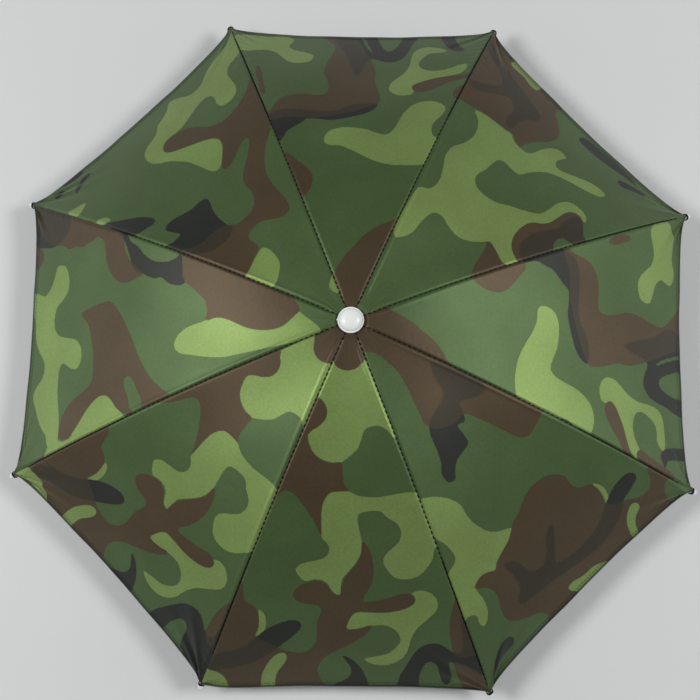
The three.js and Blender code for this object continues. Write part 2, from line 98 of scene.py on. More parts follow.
PRINTS = {
    "A": [
        ("light", [(-46, 45.8), (-35, 46), (-24, 46.3), (-14, 47.3), (-5, 49.2), (3, 51.2), (11, 52.7),
            (19, 53), (22.3, 54), (21.8, 56.3), (18, 58.4), (11, 59.5), (3, 59.5), (-6, 58.9), (-13, 57.6),
            (-20, 56.9), (-25, 58.5), (-29, 61.8), (-33, 65.3), (-40, 68.5), (-49, 69.8), (-57, 69),
            (-61.5, 66.6), (-59, 63.8), (-53, 61), (-51.5, 58), (-53, 55.5), (-60, 52), (-56, 46)]),
        ("light", [(-78.5, 85), (-77.5, 82.8), (-73, 81), (-64, 80.2), (-55, 79.5), (-47, 78), (-41, 75.8),
            (-39, 73), (-35, 72.2), (-28, 72.3), (-22.5, 74), (-22.5, 76.7), (-27, 79.3), (-33, 82),
            (-36.5, 85), (-38, 88.5), (-40, 91.5), (-45, 93.5), (-53, 94), (-61, 93.3), (-65, 92),
            (-60, 91.3), (-52, 90.8), (-46.5, 88.5), (-43.5, 86), (-46, 83.8), (-53, 82.8), (-61, 83),
            (-68, 84), (-74, 85)]),
        ("light", [(35, 88.5), (38, 86.5), (46, 85.7), (53, 86.3), (59, 88.5), (64, 90.5), (72, 91.2),
            (80, 90.3), (88, 89), (93, 89.5), (96, 93), (95, 96), (88, 98), (78, 98.2), (70, 98),
            (62, 98.7), (55, 98.5), (51, 97), (54, 94), (50, 92), (42, 91), (36, 90)]),
        ("brown", [(0, -4), (14, 8), (11, 12), (8, 15), (4, 18), (0, 20), (-5, 22.8), (-11, 25),
            (-17, 26.7), (-25, 28), (-34, 29), (-20, 15)]),
        ("brown", [(35, 34), (31, 36.5), (28.5, 39.5), (29, 42.5), (33, 44.8), (39, 46.8), (47, 49),
            (52, 45), (40, 33)]),
        ("brown", [(-13, 68.5), (-15.5, 71), (-14, 74.5), (-11.5, 78), (-12, 82), (-10, 86), (-7, 89),
            (-4, 92), (0, 96), (4, 100), (8, 103), (40, 103), (31, 99.5), (24, 97), (19.5, 94.5),
            (20, 91.5), (23, 88), (25.5, 84.5), (25.5, 81), (23, 78), (21.8, 75), (24, 72.5), (31, 72),
            (40, 72.3), (50, 71.3), (57, 69), (60.5, 65), (63, 60), (50, 62.5), (30, 63), (10, 65)]),
        ("brown", [(-75, 78.2), (-65, 77.3), (-57, 75.5), (-50, 74), (-43, 73.5), (-39, 74.5), (-38.5, 76),
            (-43, 77.5), (-52, 79), (-62, 80), (-70, 80.3), (-80, 80), (-82, 78)]),
        ("brown", [(-76, 70), (-70, 69.3), (-67, 71), (-68, 73.5), (-72, 75), (-80, 75)]),
        ("black", [(-14, 68.5), (-11, 66.3), (-5, 64.8), (3, 63.7), (11, 62.8), (19, 62.2), (27, 62.5),
            (35, 62.4), (39, 60.8), (44, 59), (48, 57.3), (50, 55), (52, 52), (50, 48.5), (52, 47),
            (62, 58), (60, 63), (54, 65.3), (44, 66), (33, 65.8), (22, 65.7), (14, 66.3), (7, 68),
            (-1, 68.8), (-8, 69)]),
        ("black", [(-45, 103), (-43, 98.5), (-39, 95.5), (-36, 92), (-32, 89), (-25, 87.2), (-17, 87.5),
            (-10, 88.8), (-5, 87), (-2, 83), (2, 80.5), (5, 83), (8, 87), (11, 91), (16, 94.5), (19, 97.5),
            (17, 100), (12, 103), (-10, 103), (-12, 99.5), (-15, 96), (-18, 93.5), (-22, 92.7), (-27, 94.3),
            (-31, 98), (-34, 103)]),
        ("black", [(-78, 92.2), (-72, 91.6), (-67, 93), (-63, 96), (-61, 100), (-61, 103), (-72, 103),
            (-72, 98), (-74, 95)]),
        ("green", [(-8.5, 91.8), (-6, 93.2), (-2.5, 96.5), (0, 100), (1, 103), (-1, 103), (-3, 99.5),
            (-5.5, 96), (-8.5, 93)]),
    ],
    "B": [
        ("light", [(21, 24.4), (17.8, 25.9), (15.7, 29.2), (17.2, 32.8), (17.6, 36.4), (15.7, 38.3),
            (10.5, 39), (4.3, 38.4), (-3, 38), (-9.3, 38.5), (-14.5, 40), (-19.7, 42.3), (-23.2, 43.9),
            (-31, 43), (-39.5, 41.5), (-46, 41), (-44.7, 44.6), (-41.5, 45.6), (-35.3, 47.4), (-31, 50),
            (-29.5, 53.2), (-30, 56.5), (-32.8, 58.7), (-37, 60.4), (-40, 62.7), (-41, 66), (-42, 69.2),
            (-45, 71.1), (-50.3, 71.7), (-55.7, 70.8), (-54.5, 72.7), (-50, 73.7), (-42.6, 73.7),
            (-37, 72.6), (-33.2, 69.6), (-32.6, 65.6), (-30.7, 62.5), (-25.3, 60.3), (-18.2, 58.3),
            (-12, 56.7), (-5.7, 54.7), (2.2, 53.6), (10, 53.5), (16.1, 54.8), (18.2, 57), (17.4, 60.1),
            (17.8, 63.8), (16.8, 66), (12.2, 66.9), (4.7, 66.7), (-0.5, 67.5), (-3, 70.1), (-6.6, 72.9),
            (-11.4, 75.4), (-19.7, 77.5), (-30, 79.2), (-40.5, 80.8), (-48.2, 82.4), (-51, 84.2),
            (-47.8, 85.1), (-39, 84.5), (-28.6, 82.4), (-18.6, 80), (-12.4, 79.5), (-9, 81), (-10.3, 83.5),
            (-11.6, 85), (-5.7, 85.5), (0, 84.2), (4.3, 80.9), (6.4, 76.9), (9.7, 75.4), (16.3, 74.9),
            (22.2, 75.3), (26.8, 76.4), (31.8, 75.8), (40, 75.1), (48.4, 74.3), (55.3, 73), (55.7, 72),
            (51, 71.3), (45.3, 69.1), (41.7, 65.6), (41.3, 62), (43.8, 58.3), (44, 56), (41.7, 53.2),
            (36.7, 50.3), (32.4, 47.4), (30.3, 44.6), (31.3, 42.1), (35, 40.7), (36, 38.8), (33.4, 35.1),
            (30.3, 31.3), (27.6, 28.3), (24.7, 25.5)]),
        ("brown", [(-31, 31.5), (-28, 35), (-26, 38), (-24, 41.5), (-21.5, 43.4), (-24, 43.9), (-31, 43),
            (-38, 41.5), (-45, 41), (-42, 33), (-34, 28)]),
        ("brown", [(-46, 45), (-41.5, 45.6), (-35.5, 47.3), (-31.3, 50), (-29.7, 53.5), (-30.3, 56.7),
            (-33, 58.8), (-37, 60.4), (-40, 62.7), (-41, 66), (-42.3, 69.3), (-46, 71.2), (-51, 71.5),
            (-56, 70.3), (-60, 67.5), (-65, 65), (-72, 62), (-60, 50)]),
        ("brown", [(16, 75.2), (14.5, 78), (12, 81), (6.5, 84.5), (4.2, 88), (7, 91), (13, 93.5),
            (20, 95.7), (22, 98), (22, 103), (105, 103), (105, 100), (80, 75), (74, 67), (68, 70.5),
            (62, 72), (56, 73.3), (48.5, 74.6), (40, 75.4), (32, 76.1), (27, 76.9), (22, 75.8)]),
        ("black", [(-47, 46.5), (-42, 47.5), (-38, 50), (-37, 53.5), (-39, 57), (-43, 60), (-46, 63),
            (-46, 67), (-48, 70), (-53, 71), (-58, 69), (-62, 66.5), (-68, 64), (-75, 60), (-60, 50)]),
        ("green", [(-57, 54), (-54, 56), (-52, 58.5), (-53, 61), (-57, 61.3), (-62, 60.5), (-64, 57),
            (-59, 53.5)]),
        ("black", [(30, 78), (35, 77.5), (39, 80), (41, 84), (50, 86), (58, 83), (66, 79), (74, 77),
            (75, 79.5), (66, 84), (62, 88), (72, 91), (84, 92), (93, 93), (98, 97), (90, 96), (78, 94.5),
            (60, 93.5), (44, 92), (30, 91), (24, 89.5), (25, 87), (29, 85), (31, 82)]),
        ("black", [(-69, 95.5), (-61, 94), (-55, 92.3), (-50, 92.3), (-49, 93.7), (-54, 94.8), (-62, 96),
            (-70, 96.8)]),
        ("black", [(-60, 97), (-50, 96.3), (-38, 95.2), (-28, 94.5), (-16, 94.2), (-6, 94.7), (-6, 96.5),
            (-12, 97.7), (-25, 98.2), (-42, 98.3), (-55, 98)]),
        ("light", [(43, 99.5), (44.5, 97), (51, 96.8), (58, 97.5), (65, 97), (71, 97), (73, 98.5),
            (68, 100.5), (60, 102), (43, 103)]),
    ],
    "D": [
        ("light", [(-48, 46), (-41, 48), (-36, 50), (-32, 52.5), (-29.7, 55.5), (-31, 59), (-31, 62),
            (-28.5, 65.8), (-24, 68.3), (-18, 69.8), (-14.5, 70.8), (-17, 72), (-23, 73), (-30, 73.8),
            (-37, 74.7), (-41.5, 76), (-46, 75), (-52, 74.3), (-57.5, 74.8), (-60, 76.5), (-60.5, 79.5),
            (-63.5, 82.7), (-68.5, 84.8), (-72.8, 85.2), (-73.5, 83.5), (-71.5, 81.5), (-74, 79.8),
            (-80, 78.7), (-88, 79), (-75, 66), (-66, 66), (-59, 66), (-54.8, 64.5), (-54, 61), (-55.5, 57),
            (-55, 52.5), (-56, 49)]),
        ("brown", [(0, -4), (-8, 6), (-3, 10), (-1.5, 14), (-1, 18), (-3, 22), (-6, 26), (-9, 30),
            (-11, 33), (-8, 36), (0, 38), (5, 38.5), (12, 38.5), (16, 41), (20, 45), (24, 49), (28, 53),
            (33, 55), (38, 54.8), (45, 53.8), (50, 52.5), (52, 50), (40, 33), (25, 18), (12, 6)]),
        ("brown", [(-60, 75.5), (-57.5, 74.8), (-51, 74.3), (-46, 75), (-41.5, 76.2), (-37, 75),
            (-29, 73.7), (-22, 72.8), (-16, 71.3), (-11, 69.8), (-4, 69), (0, 68), (5, 67), (12, 66.2),
            (20, 66.2), (27, 67), (32, 68.5), (35.5, 70.5), (35.5, 73), (37, 75.5), (42, 77), (47, 78),
            (47.5, 80), (47.5, 83), (46.5, 85.3), (52, 88), (58, 88.7), (64, 90.2), (70, 91.3), (77, 90.7),
            (81, 88.5), (83, 85), (90, 84), (95, 90), (91, 91.5), (87, 93), (84, 95.5), (84, 98.5),
            (88, 103), (-34, 103), (-35, 98), (-38, 95.5), (-46, 93.8), (-54, 91.8), (-58, 89.3), (-57, 86),
            (-52.5, 82.5), (-52, 79.5), (-55, 77.5)]),
        ("light", [(46.5, 77.8), (50, 79.3), (51.8, 81.5), (50.5, 84.3), (46.5, 85.6), (48, 83),
            (48.3, 80.5)]),
        ("black", [(19, 22), (24, 26), (30, 31), (34, 35), (32, 37.5), (25, 37.3), (19, 36), (14.5, 35.5),
            (12.5, 38), (9, 40), (4, 39.5), (3, 42.5), (1.5, 45), (-5, 45.7), (-12, 46.3), (-17, 48),
            (-21, 49.7), (-25.5, 48.8), (-25, 46), (-20, 43.5), (-16, 39.5), (-13, 36), (-8, 33.5),
            (0, 32.3), (8, 31.5), (12, 29.5), (13, 27), (16, 23.5)]),
        ("black", [(-35, 77), (-30, 77.5), (-26, 80), (-24, 84), (-15, 85.5), (-7, 83.5), (-2, 80.5),
            (6, 78), (8, 79.5), (2, 82.5), (-4, 86), (-6, 88), (3, 89.3), (15, 89.8), (27, 89.3),
            (38, 87.5), (46, 85.5), (55, 83.5), (64, 82.7), (71, 82.8), (74.5, 84.3), (73, 86), (66, 87.2),
            (58, 88.3), (52, 90.5), (45, 92.3), (35, 93.5), (22, 94), (8, 93.3), (-8, 92), (-22, 91),
            (-36, 90.3), (-44, 89.3), (-43, 87.3), (-37, 85.5), (-35, 82)]),
        ("black", [(-92, 98), (-86, 96), (-78, 94), (-70, 93), (-65, 93.5), (-63.5, 95), (-67, 96.2),
            (-76, 96.5), (-86, 97.5), (-95, 99.5)]),
        ("light", [(60.5, 91), (64, 92), (63, 93.7), (58, 94.8), (54, 97), (52.5, 100), (52, 103),
            (46, 103), (47.5, 97.5), (50, 94.3), (55.5, 91.8)]),
        ("light", [(-11.5, 96.3), (-6, 96), (2, 97), (12, 97.3), (19, 98.5), (24, 100), (26, 103),
            (-5, 103), (-8, 99.5), (-11, 98)]),
    ],
    "E": [
        ("light", [(-8, 5), (-20, 17), (-21, 20), (-17, 21), (-14.5, 23), (-14.5, 25), (-17, 27),
            (-21, 28.3), (-25.5, 30), (-25, 32), (-22, 34.8), (-17, 36.5), (-10, 37.4), (-5, 37.3),
            (0, 35.8), (5, 33.8), (7, 31.5), (9, 29), (13, 28), (18, 27.8), (23, 28.8), (28, 31), (34, 31),
            (22, 18), (8, 5)]),
        ("light", [(-17.3, 50), (-16, 47.5), (-12, 45.3), (-5, 44.8), (0, 45), (5, 46), (10, 46.5),
            (18, 46.6), (27, 46), (36, 45.3), (44, 45), (50, 45), (60, 57), (56, 60), (55, 63), (50, 66.3),
            (44, 68.2), (36, 68.7), (30, 68), (25.5, 66), (23, 63.8), (25, 61.8), (30, 59.8), (33.5, 58),
            (34, 55.5), (31, 53.5), (25, 52), (20, 50.3), (13, 50.3), (7, 51), (6, 53), (7.5, 56), (9, 59),
            (8, 62), (5, 64.5), (1, 66.5), (-3, 68.5), (-4, 70), (-4, 73), (-8, 73), (-11, 71.5), (-13, 70),
            (-17, 69), (-22, 68.8), (-27, 69.3), (-31, 68), (-33.5, 66), (-30, 64.5), (-24, 63.8),
            (-17, 63.2), (-13, 62), (-12, 60), (-14, 58.5), (-17, 57), (-17, 53)]),
        ("light", [(5, 78.4), (15, 78.4), (26, 78.2), (35, 77.2), (41, 75.5), (42, 73), (47, 71.8),
            (54, 72.3), (59, 74.2), (59.5, 77), (54, 79.8), (47, 82.8), (43, 86), (41, 89.5), (36, 92.3),
            (28, 93.8), (19, 93.7), (12, 92.2), (20, 91.2), (28, 90.3), (34, 88.2), (36, 86), (33, 83.5),
            (26, 82), (19, 82), (12, 82.6), (5, 83.5), (-1, 83), (1, 80.3)]),
        ("light", [(-58, 77.2), (-54.5, 78.5), (-53.5, 80.5), (-54.5, 83), (-58, 84.5), (-61, 85),
            (-59, 83), (-58, 80.5)]),
        ("brown", [(-14, 7), (-10.5, 11), (-7, 12.7), (-2, 13.3), (3, 12.7), (7, 11), (10, 9), (14, 5),
            (0, -4)]),
        ("brown", [(-22, 19), (-19, 20.5), (-15.5, 22), (-14, 24), (-15, 26), (-19, 27.8), (-24, 29.3),
            (-26, 31), (-24, 33.8), (-19, 36.2), (-12, 37.4), (-5, 37.4), (-4, 40), (-3, 43), (0, 44.8),
            (-6, 45), (-12, 45.5), (-16, 48), (-17.3, 52), (-17, 57), (-21, 53.5), (-27, 49.5), (-33, 46.2),
            (-38, 44.9), (-43, 45.7), (-48, 49), (-53, 51.7), (-60, 53.5), (-70, 54), (-50, 30),
            (-30, 20)]),
        ("brown", [(-85, 66), (-74, 67), (-69, 70), (-68, 73), (-67, 75), (-62, 76), (-58.5, 78),
            (-58.5, 82), (-61, 85), (-52, 87), (-44, 89), (-38, 89.7), (-31, 90.2), (-25, 89.2), (-21, 87),
            (-20, 84), (-20, 81), (-18, 79), (-17.5, 77), (-22, 76), (-29, 75.6), (-34, 74.5),
            (-35.5, 72.7), (-32, 70.8), (-26, 69.6), (-20, 69.2), (-14, 70.3), (-10, 72.5), (-5, 73.5),
            (-4, 70.5), (0, 67.5), (5, 64.8), (8.5, 62), (9, 58.5), (13, 60), (16, 63), (17, 67), (15, 71),
            (10, 75), (18, 75), (28, 74), (36, 72.8), (43, 73), (45, 74.8), (41, 76.6), (33, 77.8),
            (22, 78.4), (9, 78.2), (4, 79), (1, 81), (0, 83.2), (8, 83), (17, 82), (12, 85), (4, 87.2),
            (-4, 89), (-11, 90.5), (-17, 92.7), (-20, 95.5), (-18, 98.5), (-14, 103), (-60, 103),
            (-80, 103), (-110, 103), (-95, 90)]),
        ("brown", [(70, 76), (68.5, 80), (69, 84), (70.5, 87), (73, 90), (78, 91), (84, 90), (90, 88),
            (85, 80), (74, 70)]),
        ("brown", [(73, 92.5), (80, 93), (88, 94.5), (96, 96), (105, 101), (84, 103), (79, 99),
            (75.5, 96)]),
        ("black", [(-94, 93), (-86, 90.5), (-76, 89.3), (-67, 87.5), (-60, 85), (-52, 82.5), (-44, 81),
            (-36, 80.3), (-31, 81), (-30.5, 82.5), (-35, 84.7), (-42, 87), (-48, 89), (-54, 90.8),
            (-62, 92.6), (-72, 94), (-82, 95), (-96, 96.5)]),
        ("black", [(-3, 91.2), (2, 91.8), (8, 94), (12, 96.5), (15, 100), (15.5, 103), (-8, 103),
            (-9, 100.5), (-6, 99.5), (-1, 98.5), (2.5, 97), (3, 95), (0, 93)]),
        ("black", [(35, 103), (36, 98), (39.5, 95), (44, 91.5), (49, 88.6), (56, 87.2), (62, 87.2),
            (67, 88.2), (72, 89.5), (76, 89.6), (78.3, 88), (77.8, 85), (76.3, 82), (75, 79), (77, 77.5),
            (82, 79), (90, 86), (98, 94), (94, 95.5), (88, 95), (82, 93.8), (76, 93), (70, 92.6),
            (70.5, 94.5), (72, 96.5), (71.5, 98.6), (68.5, 99.6), (65.5, 98.4), (63.3, 95.8), (61.5, 93.7),
            (57.5, 92.7), (53.5, 93.5), (50, 97), (48.5, 103)]),
        ("light", [(-41, 90.5), (-44, 90), (-49, 91), (-54, 93.5), (-57.5, 96.5), (-59, 100), (-60, 103),
            (-50, 103), (-49, 99), (-47, 96), (-42.5, 93.5), (-40.5, 91.8)]),
        ("light", [(-99, 96.5), (-95, 96), (-88, 96.3), (-83, 97.8), (-81, 100), (-81, 103), (-105, 103)]),
    ],
    "G": [
        ("light", [(6, 7), (1, 9.5), (-3, 12), (-5, 13.3), (-1, 15), (3.5, 17.2), (6, 20), (6.5, 24),
            (5, 27.5), (1.5, 31), (-2, 34), (-2.5, 37), (0, 41), (3, 45), (7, 47.5), (12, 48.8), (17, 48.7),
            (20.5, 47), (22, 43.5), (23.5, 39), (23.8, 34.5), (22, 30), (20, 26), (18, 22), (15.5, 17),
            (13, 12.5), (12, 8)]),
        ("brown", [(-6.5, 13), (-2, 14.8), (2.5, 17), (5.7, 20), (6.3, 24), (4.5, 28), (1, 31.5),
            (-1.8, 34.5), (-2.3, 37), (-1, 39.7), (-8, 39.5), (-14, 40.3), (-18.5, 42), (-23, 44),
            (-27, 46), (-31, 47.3), (-38, 47.3), (-46, 47), (-52, 47), (-35, 28), (-20, 18), (-14, 15)]),
        ("brown", [(-36, 60), (-33, 62), (-31, 64.5), (-31.5, 67.5), (-35, 69.5), (-40, 71), (-48, 72.5),
            (-56, 72.8), (-63, 73.5), (-66, 75.5), (-63.5, 77.5), (-62.5, 79.3), (-60.5, 81), (-62, 83.5),
            (-60.8, 86), (-64, 88.5), (-66, 92), (-70, 95), (-80, 98), (-105, 103), (-85, 82), (-75, 74),
            (-68, 67), (-55, 66), (-45, 64)]),
        ("brown", [(-64, 97), (-59, 96.3), (-53, 97.3), (-49.5, 99.5), (-50, 103), (-68, 103), (-67, 99)]),
        ("brown", [(50, 48), (45, 51), (42, 53), (37, 55.5), (30, 57.7), (21, 60), (11, 62), (2, 64),
            (-6, 66), (-13, 68), (-18, 70), (-19, 72), (-17.5, 75), (-15.5, 78), (-12.5, 80.7), (-9, 79.8),
            (-4, 78), (4, 76.8), (14, 75.7), (25, 75.2), (36, 75.2), (42, 77), (47, 80), (53, 82.8),
            (61, 84.8), (69, 85.6), (75, 85.2), (77.5, 83), (75.5, 81), (70, 79.5), (62, 77.5), (55, 75.5),
            (50, 73.5), (47.5, 71.3), (49, 69), (54, 66.8), (58, 64.8), (60, 62), (62, 58), (56, 52)]),
        ("green", [(51, 58), (45, 59.5), (38, 61.3), (34.5, 63), (36.5, 64.2), (42, 64), (49, 62.5),
            (57, 61), (60, 57)]),
        ("light", [(59, 64), (56, 66), (50, 68.3), (47.3, 70.5), (49, 73), (56, 75.8), (65, 78), (72, 79.8),
            (80, 81), (85, 80), (70, 66), (63, 62)]),
        ("light", [(-50, 89.5), (-48, 87.3), (-40, 86), (-31, 86), (-24.5, 87.6), (-19, 90), (-11, 90.8),
            (-3, 90.4), (2, 88.7), (4, 86), (6, 82.5), (10.5, 80.5), (18, 79.7), (25, 80.3), (27.5, 82),
            (25.5, 84.3), (22.5, 86.2), (25, 87.6), (33, 87.9), (46, 87.4), (58, 86.3), (70, 85.5),
            (79, 85.5), (82.5, 87.5), (80, 89.3), (74, 90.2), (70, 92), (63, 94), (54, 95.7), (49, 96.8),
            (43, 97), (38, 96), (33, 94.3), (27, 93.7), (20, 94), (13, 96), (3, 97.8), (-10, 98.6),
            (-20, 99.6), (-29, 100), (-32, 98.7), (-30, 96.4), (-29, 94.8), (-34, 92.8), (-43, 91.4),
            (-49, 90.7)]),
        ("black", [(-47, 47.2), (-38, 47.3), (-31, 47), (-27, 46.5), (-25.5, 48.5), (-27.5, 51.5),
            (-32, 54), (-31.5, 56), (-34, 58.5), (-36, 60), (-37, 62), (-42, 63.5), (-50, 64.5),
            (-57, 65.5), (-66, 67), (-66, 64.5), (-60, 64), (-55, 61.5), (-49, 59.5), (-44, 56.5),
            (-42.5, 53), (-43.5, 50), (-46, 48)]),
        ("black", [(-89, 85), (-80, 85.3), (-73, 86.8), (-68, 89), (-65.5, 91), (-64.5, 93.3), (-65.5, 96),
            (-66.5, 99), (-68, 103), (-103, 103), (-97, 91)]),
    ],
    "H": [
        ("light", [(-7, 6.5), (-4.5, 8), (-5, 10), (-8, 11), (-12, 11.5), (-9, 7)]),
        ("light", [(24, 20), (18, 21), (12, 22.5), (7, 24.5), (5, 27), (5, 30), (7.5, 31.8), (14, 31.2),
            (22, 29.8), (29, 28.2), (34, 27), (30, 21)]),
        ("light", [(-14.5, 61.8), (-10, 61.3), (-6.5, 63), (-5, 65.5), (-3, 68.3), (-1, 71), (3, 73.7),
            (8, 76.5), (13.5, 78.3), (17.5, 80.5), (18.5, 83), (16.5, 85.5), (11, 87.3), (3, 88.3),
            (-2, 89.5), (-6, 91.3), (-14, 92.7), (-20, 94), (-24, 95.8), (-29, 96), (-34, 94.5),
            (-38, 92.8), (-44, 91.7), (-52, 92), (-60, 94), (-68, 95.3), (-78, 95.8), (-90, 96.5),
            (-104, 98), (-95, 88), (-88, 88.2), (-80, 88.9), (-73, 88.2), (-69, 86), (-67.5, 83),
            (-65.5, 80), (-61, 78), (-54, 77.5), (-48, 78.5), (-47, 80.7), (-49.5, 83), (-48.5, 85.2),
            (-43, 86.2), (-35, 85.8), (-26, 84.7), (-18, 83.7), (-10, 83.5), (-3, 83.8), (3, 82.7),
            (5, 80.5), (1, 78.5), (-7, 76.5), (-16, 74.3), (-24, 72), (-27.8, 69.3), (-26, 66.5),
            (-20, 63.5)]),
        ("brown", [(34, 27.5), (28, 28.7), (21, 30), (14, 31.5), (9, 32.5), (8.5, 34.5), (9.5, 36.5),
            (6.5, 38), (0, 38.4), (-6, 37.8), (-12, 35.8), (-18, 34.5), (-24, 35), (-27, 38), (-28, 42.5),
            (-30, 47), (-35, 51), (-43, 54.7), (-52, 57.2), (-60, 58.8), (-70, 60), (-85, 70), (-95, 85),
            (-77, 78), (-67, 75.5), (-56, 74), (-45, 73.4), (-37, 74), (-30.5, 76), (-25, 79), (-19, 81.7),
            (-11, 83.4), (-3, 83.8), (3, 82.7), (5, 80.5), (1, 78.5), (-7, 76.5), (-16, 74.3), (-24, 72),
            (-27.5, 69.5), (-25.5, 66.7), (-20, 64), (-14.5, 61.5), (-14, 59.8), (-19, 59.5), (-26, 60.5),
            (-33, 62), (-39, 62.7), (-41.5, 62), (-39, 60.3), (-33, 58), (-26, 55.8), (-19, 53.5),
            (-15.5, 50.5), (-14.8, 47), (-10.5, 44), (-4, 42.7), (4, 42.6), (9, 43.3), (12, 44.5), (20, 46),
            (35, 46), (50, 48), (50, 42), (40, 32)]),
        ("black", [(12, 43), (17, 41.5), (25, 41.3), (34, 42), (43, 44.5), (50, 47), (56, 50), (53, 52),
            (46, 52.3), (40, 52.8), (42.5, 55), (45, 57.2), (42, 58.4), (36, 58.5), (29, 57.7), (22, 57),
            (14, 57.1), (9.5, 56.2), (10, 54.3), (12.5, 51.5), (13.5, 48.5), (13, 45.5)]),
        ("black", [(45, 63), (48, 62), (56, 62.2), (64, 62.3), (72, 64), (80, 74), (74, 73), (69, 72.5),
            (63, 71), (58, 69.5), (52, 67.5), (47, 65)]),
        ("black", [(54, 95.3), (60, 94.7), (66, 93.4), (71.5, 92.4), (72, 93.3), (67.5, 94.8), (62.5, 96),
            (57, 96.4)]),
        ("black", [(58, 98.2), (64, 97.6), (70, 98), (76, 99), (72, 101), (60, 101)]),
        ("black", [(77, 96.8), (81, 95.7), (85.5, 96), (85, 97.3), (80, 97.8)]),
        ("light", [(67, 73.5), (72, 73.3), (75, 75), (74, 76), (69, 75.7)]),
        ("light", [(72, 86), (76, 84.5), (81, 82.7), (83.5, 84), (85, 86.3), (78, 86.7)]),
    ],
}

# Of gore_6, drawn first in green so that its black doesn't blend over brown
HEM_ARCH = [(68, 87), (76, 88.5), (82, 90), (90, 91.5), (96, 94.5), (101, 100), (84, 103), (78, 100),
    (72, 96), (70, 91)]

# The print of gore_1 to gore_8: its chart, how far it is shifted against it, and patches of its own
GORE_PRINTS = [
    ("A", (-5, -1.4), [
        ("brown", [(73, 75), (75, 77.5), (75.5, 80), (72.5, 80.5), (69.5, 78), (67, 75), (69, 73)]),
        ("green", [(-90, 89), (-82, 87), (-70, 89), (-64, 94), (-62, 103), (-80, 103)]),
        ("light", [(-61, 90.5), (-68, 89.6), (-74.5, 91.2), (-73, 92.3), (-66, 92.6), (-59, 92.4)]),
        ("brown", [(-75, 83), (-79.5, 86.5), (-84.5, 90), (-90, 94), (-93, 92), (-86, 86), (-80, 81)]),
        ("black", [(-87, 90.4), (-84, 90.8), (-78.5, 90.3), (-74, 92), (-72.5, 95), (-72.5, 103), (-80, 103),
            (-81, 97), (-81.5, 93), (-84.5, 92)]),
    ]),
    ("B", (0, 0), []),
    ("A", (0, 0), [
        ("brown", [(75.1, 83), (72.9, 82.7), (69.3, 77), (66.2, 71.5), (68.6, 70.5), (72.4, 75.7),
            (75.1, 80.1)]),
    ]),
    ("H", (0, 0), []),
    ("G", (0, 0), [
        ("light", [(74, 78), (78, 82.8), (77.8, 84.5), (76, 86), (78, 88), (83.5, 88.6), (91, 88.6), (90, 85),
            (84, 80), (78, 76)]),
    ]),
    ("E", (5, -0.7), [
        ("light", [(-102, 95), (-94, 94.5), (-88, 96), (-80, 96.6), (-73, 98), (-68, 100.5), (-70, 103),
            (-105, 103)]),
        ("green", HEM_ARCH),
        ("black", HEM_ARCH),
    ]),
    ("E", (0.9, -0.9), []),
    ("D", (0, 0), []),
]

CHART_UNIT = (HALF_HEM / 100, GORE_LENGTH / 100)
OUTLINE_STEPS = 5  # places on the smooth outline for each charted one
INK_REACH = 6.0  # mm beyond an outline where its distance is still worked out
TINY = 1e-9  # keeps a division from being one by zero


def smooth_step(low, high, value):
    share = np.clip((value - low) / (high - low), 0.0, 1.0)
    return share * share * (3 - 2 * share)


def smooth_outline(points):
    """A closed Catmull-Rom curve through the points."""
    here = np.array(points, float)[:, None, :]
    before = np.roll(here, 1, 0)
    after = np.roll(here, -1, 0)
    beyond = np.roll(here, -2, 0)
    share = (np.arange(OUTLINE_STEPS) / OUTLINE_STEPS)[None, :, None]
    straight = (after - before) * share
    bend = (2 * before - 5 * here + 4 * after - beyond) * share**2
    twist = (3 * here - before - 3 * after + beyond) * share**3
    return (0.5 * (2 * here + straight + bend + twist)).reshape(-1, 2)


def distance_inside(outline, x, y):
    """Distance of each point from a closed outline, positive inside."""
    start = outline
    edge = np.roll(outline, -1, 0) - start
    along_x = x[:, None] - start[None, :, 0]
    along_y = y[:, None] - start[None, :, 1]
    share = (along_x * edge[:, 0] + along_y * edge[:, 1]) / ((edge**2).sum(1) + TINY)
    share = np.clip(share, 0, 1)
    gap = np.hypot(along_x - share * edge[:, 0], along_y - share * edge[:, 1]).min(1)
    end_y = start[:, 1] + edge[:, 1]
    spans = (start[:, 1] > y[:, None]) != (end_y > y[:, None])
    safe = np.where(edge[:, 1] == 0, TINY, edge[:, 1])
    crossing = along_x < along_y * edge[:, 0] / safe
    inside = (spans & crossing).sum(1) % 2 == 1
    return np.where(inside, gap, -gap)


def ink_fields(gore, s, across):
    """For each ink over the base green, how far inside its patches each point of the gore lies."""
    x = across * s * HALF_HEM
    y = s * GORE_LENGTH
    fields = {ink: np.full(x.shape, -INK_REACH) for ink in INKS[1:]}
    chart, shift, own = GORE_PRINTS[gore]
    outlines = [(ink, smooth_outline(points) + shift) for ink, points in PRINTS[chart]]
    outlines += [(ink, smooth_outline(points)) for ink, points in own]
    for ink, outline in outlines:
        outline = outline * CHART_UNIT
        low = outline.min(0) - INK_REACH
        high = outline.max(0) + INK_REACH
        near = (x > low[0]) & (x < high[0]) & (y > low[1]) & (y < high[1])
        inside = distance_inside(outline, x[near], y[near])
        rank = INKS.index(ink)
        if rank > 0:
            fields[ink][near] = np.maximum(fields[ink][near], inside)
        for higher in INKS[rank + 1:]:
            fields[higher][near] = np.minimum(fields[higher][near], -inside)
    return fields


# The cloth's surface. A range is two shares of the gore's length between which something grows or fades.

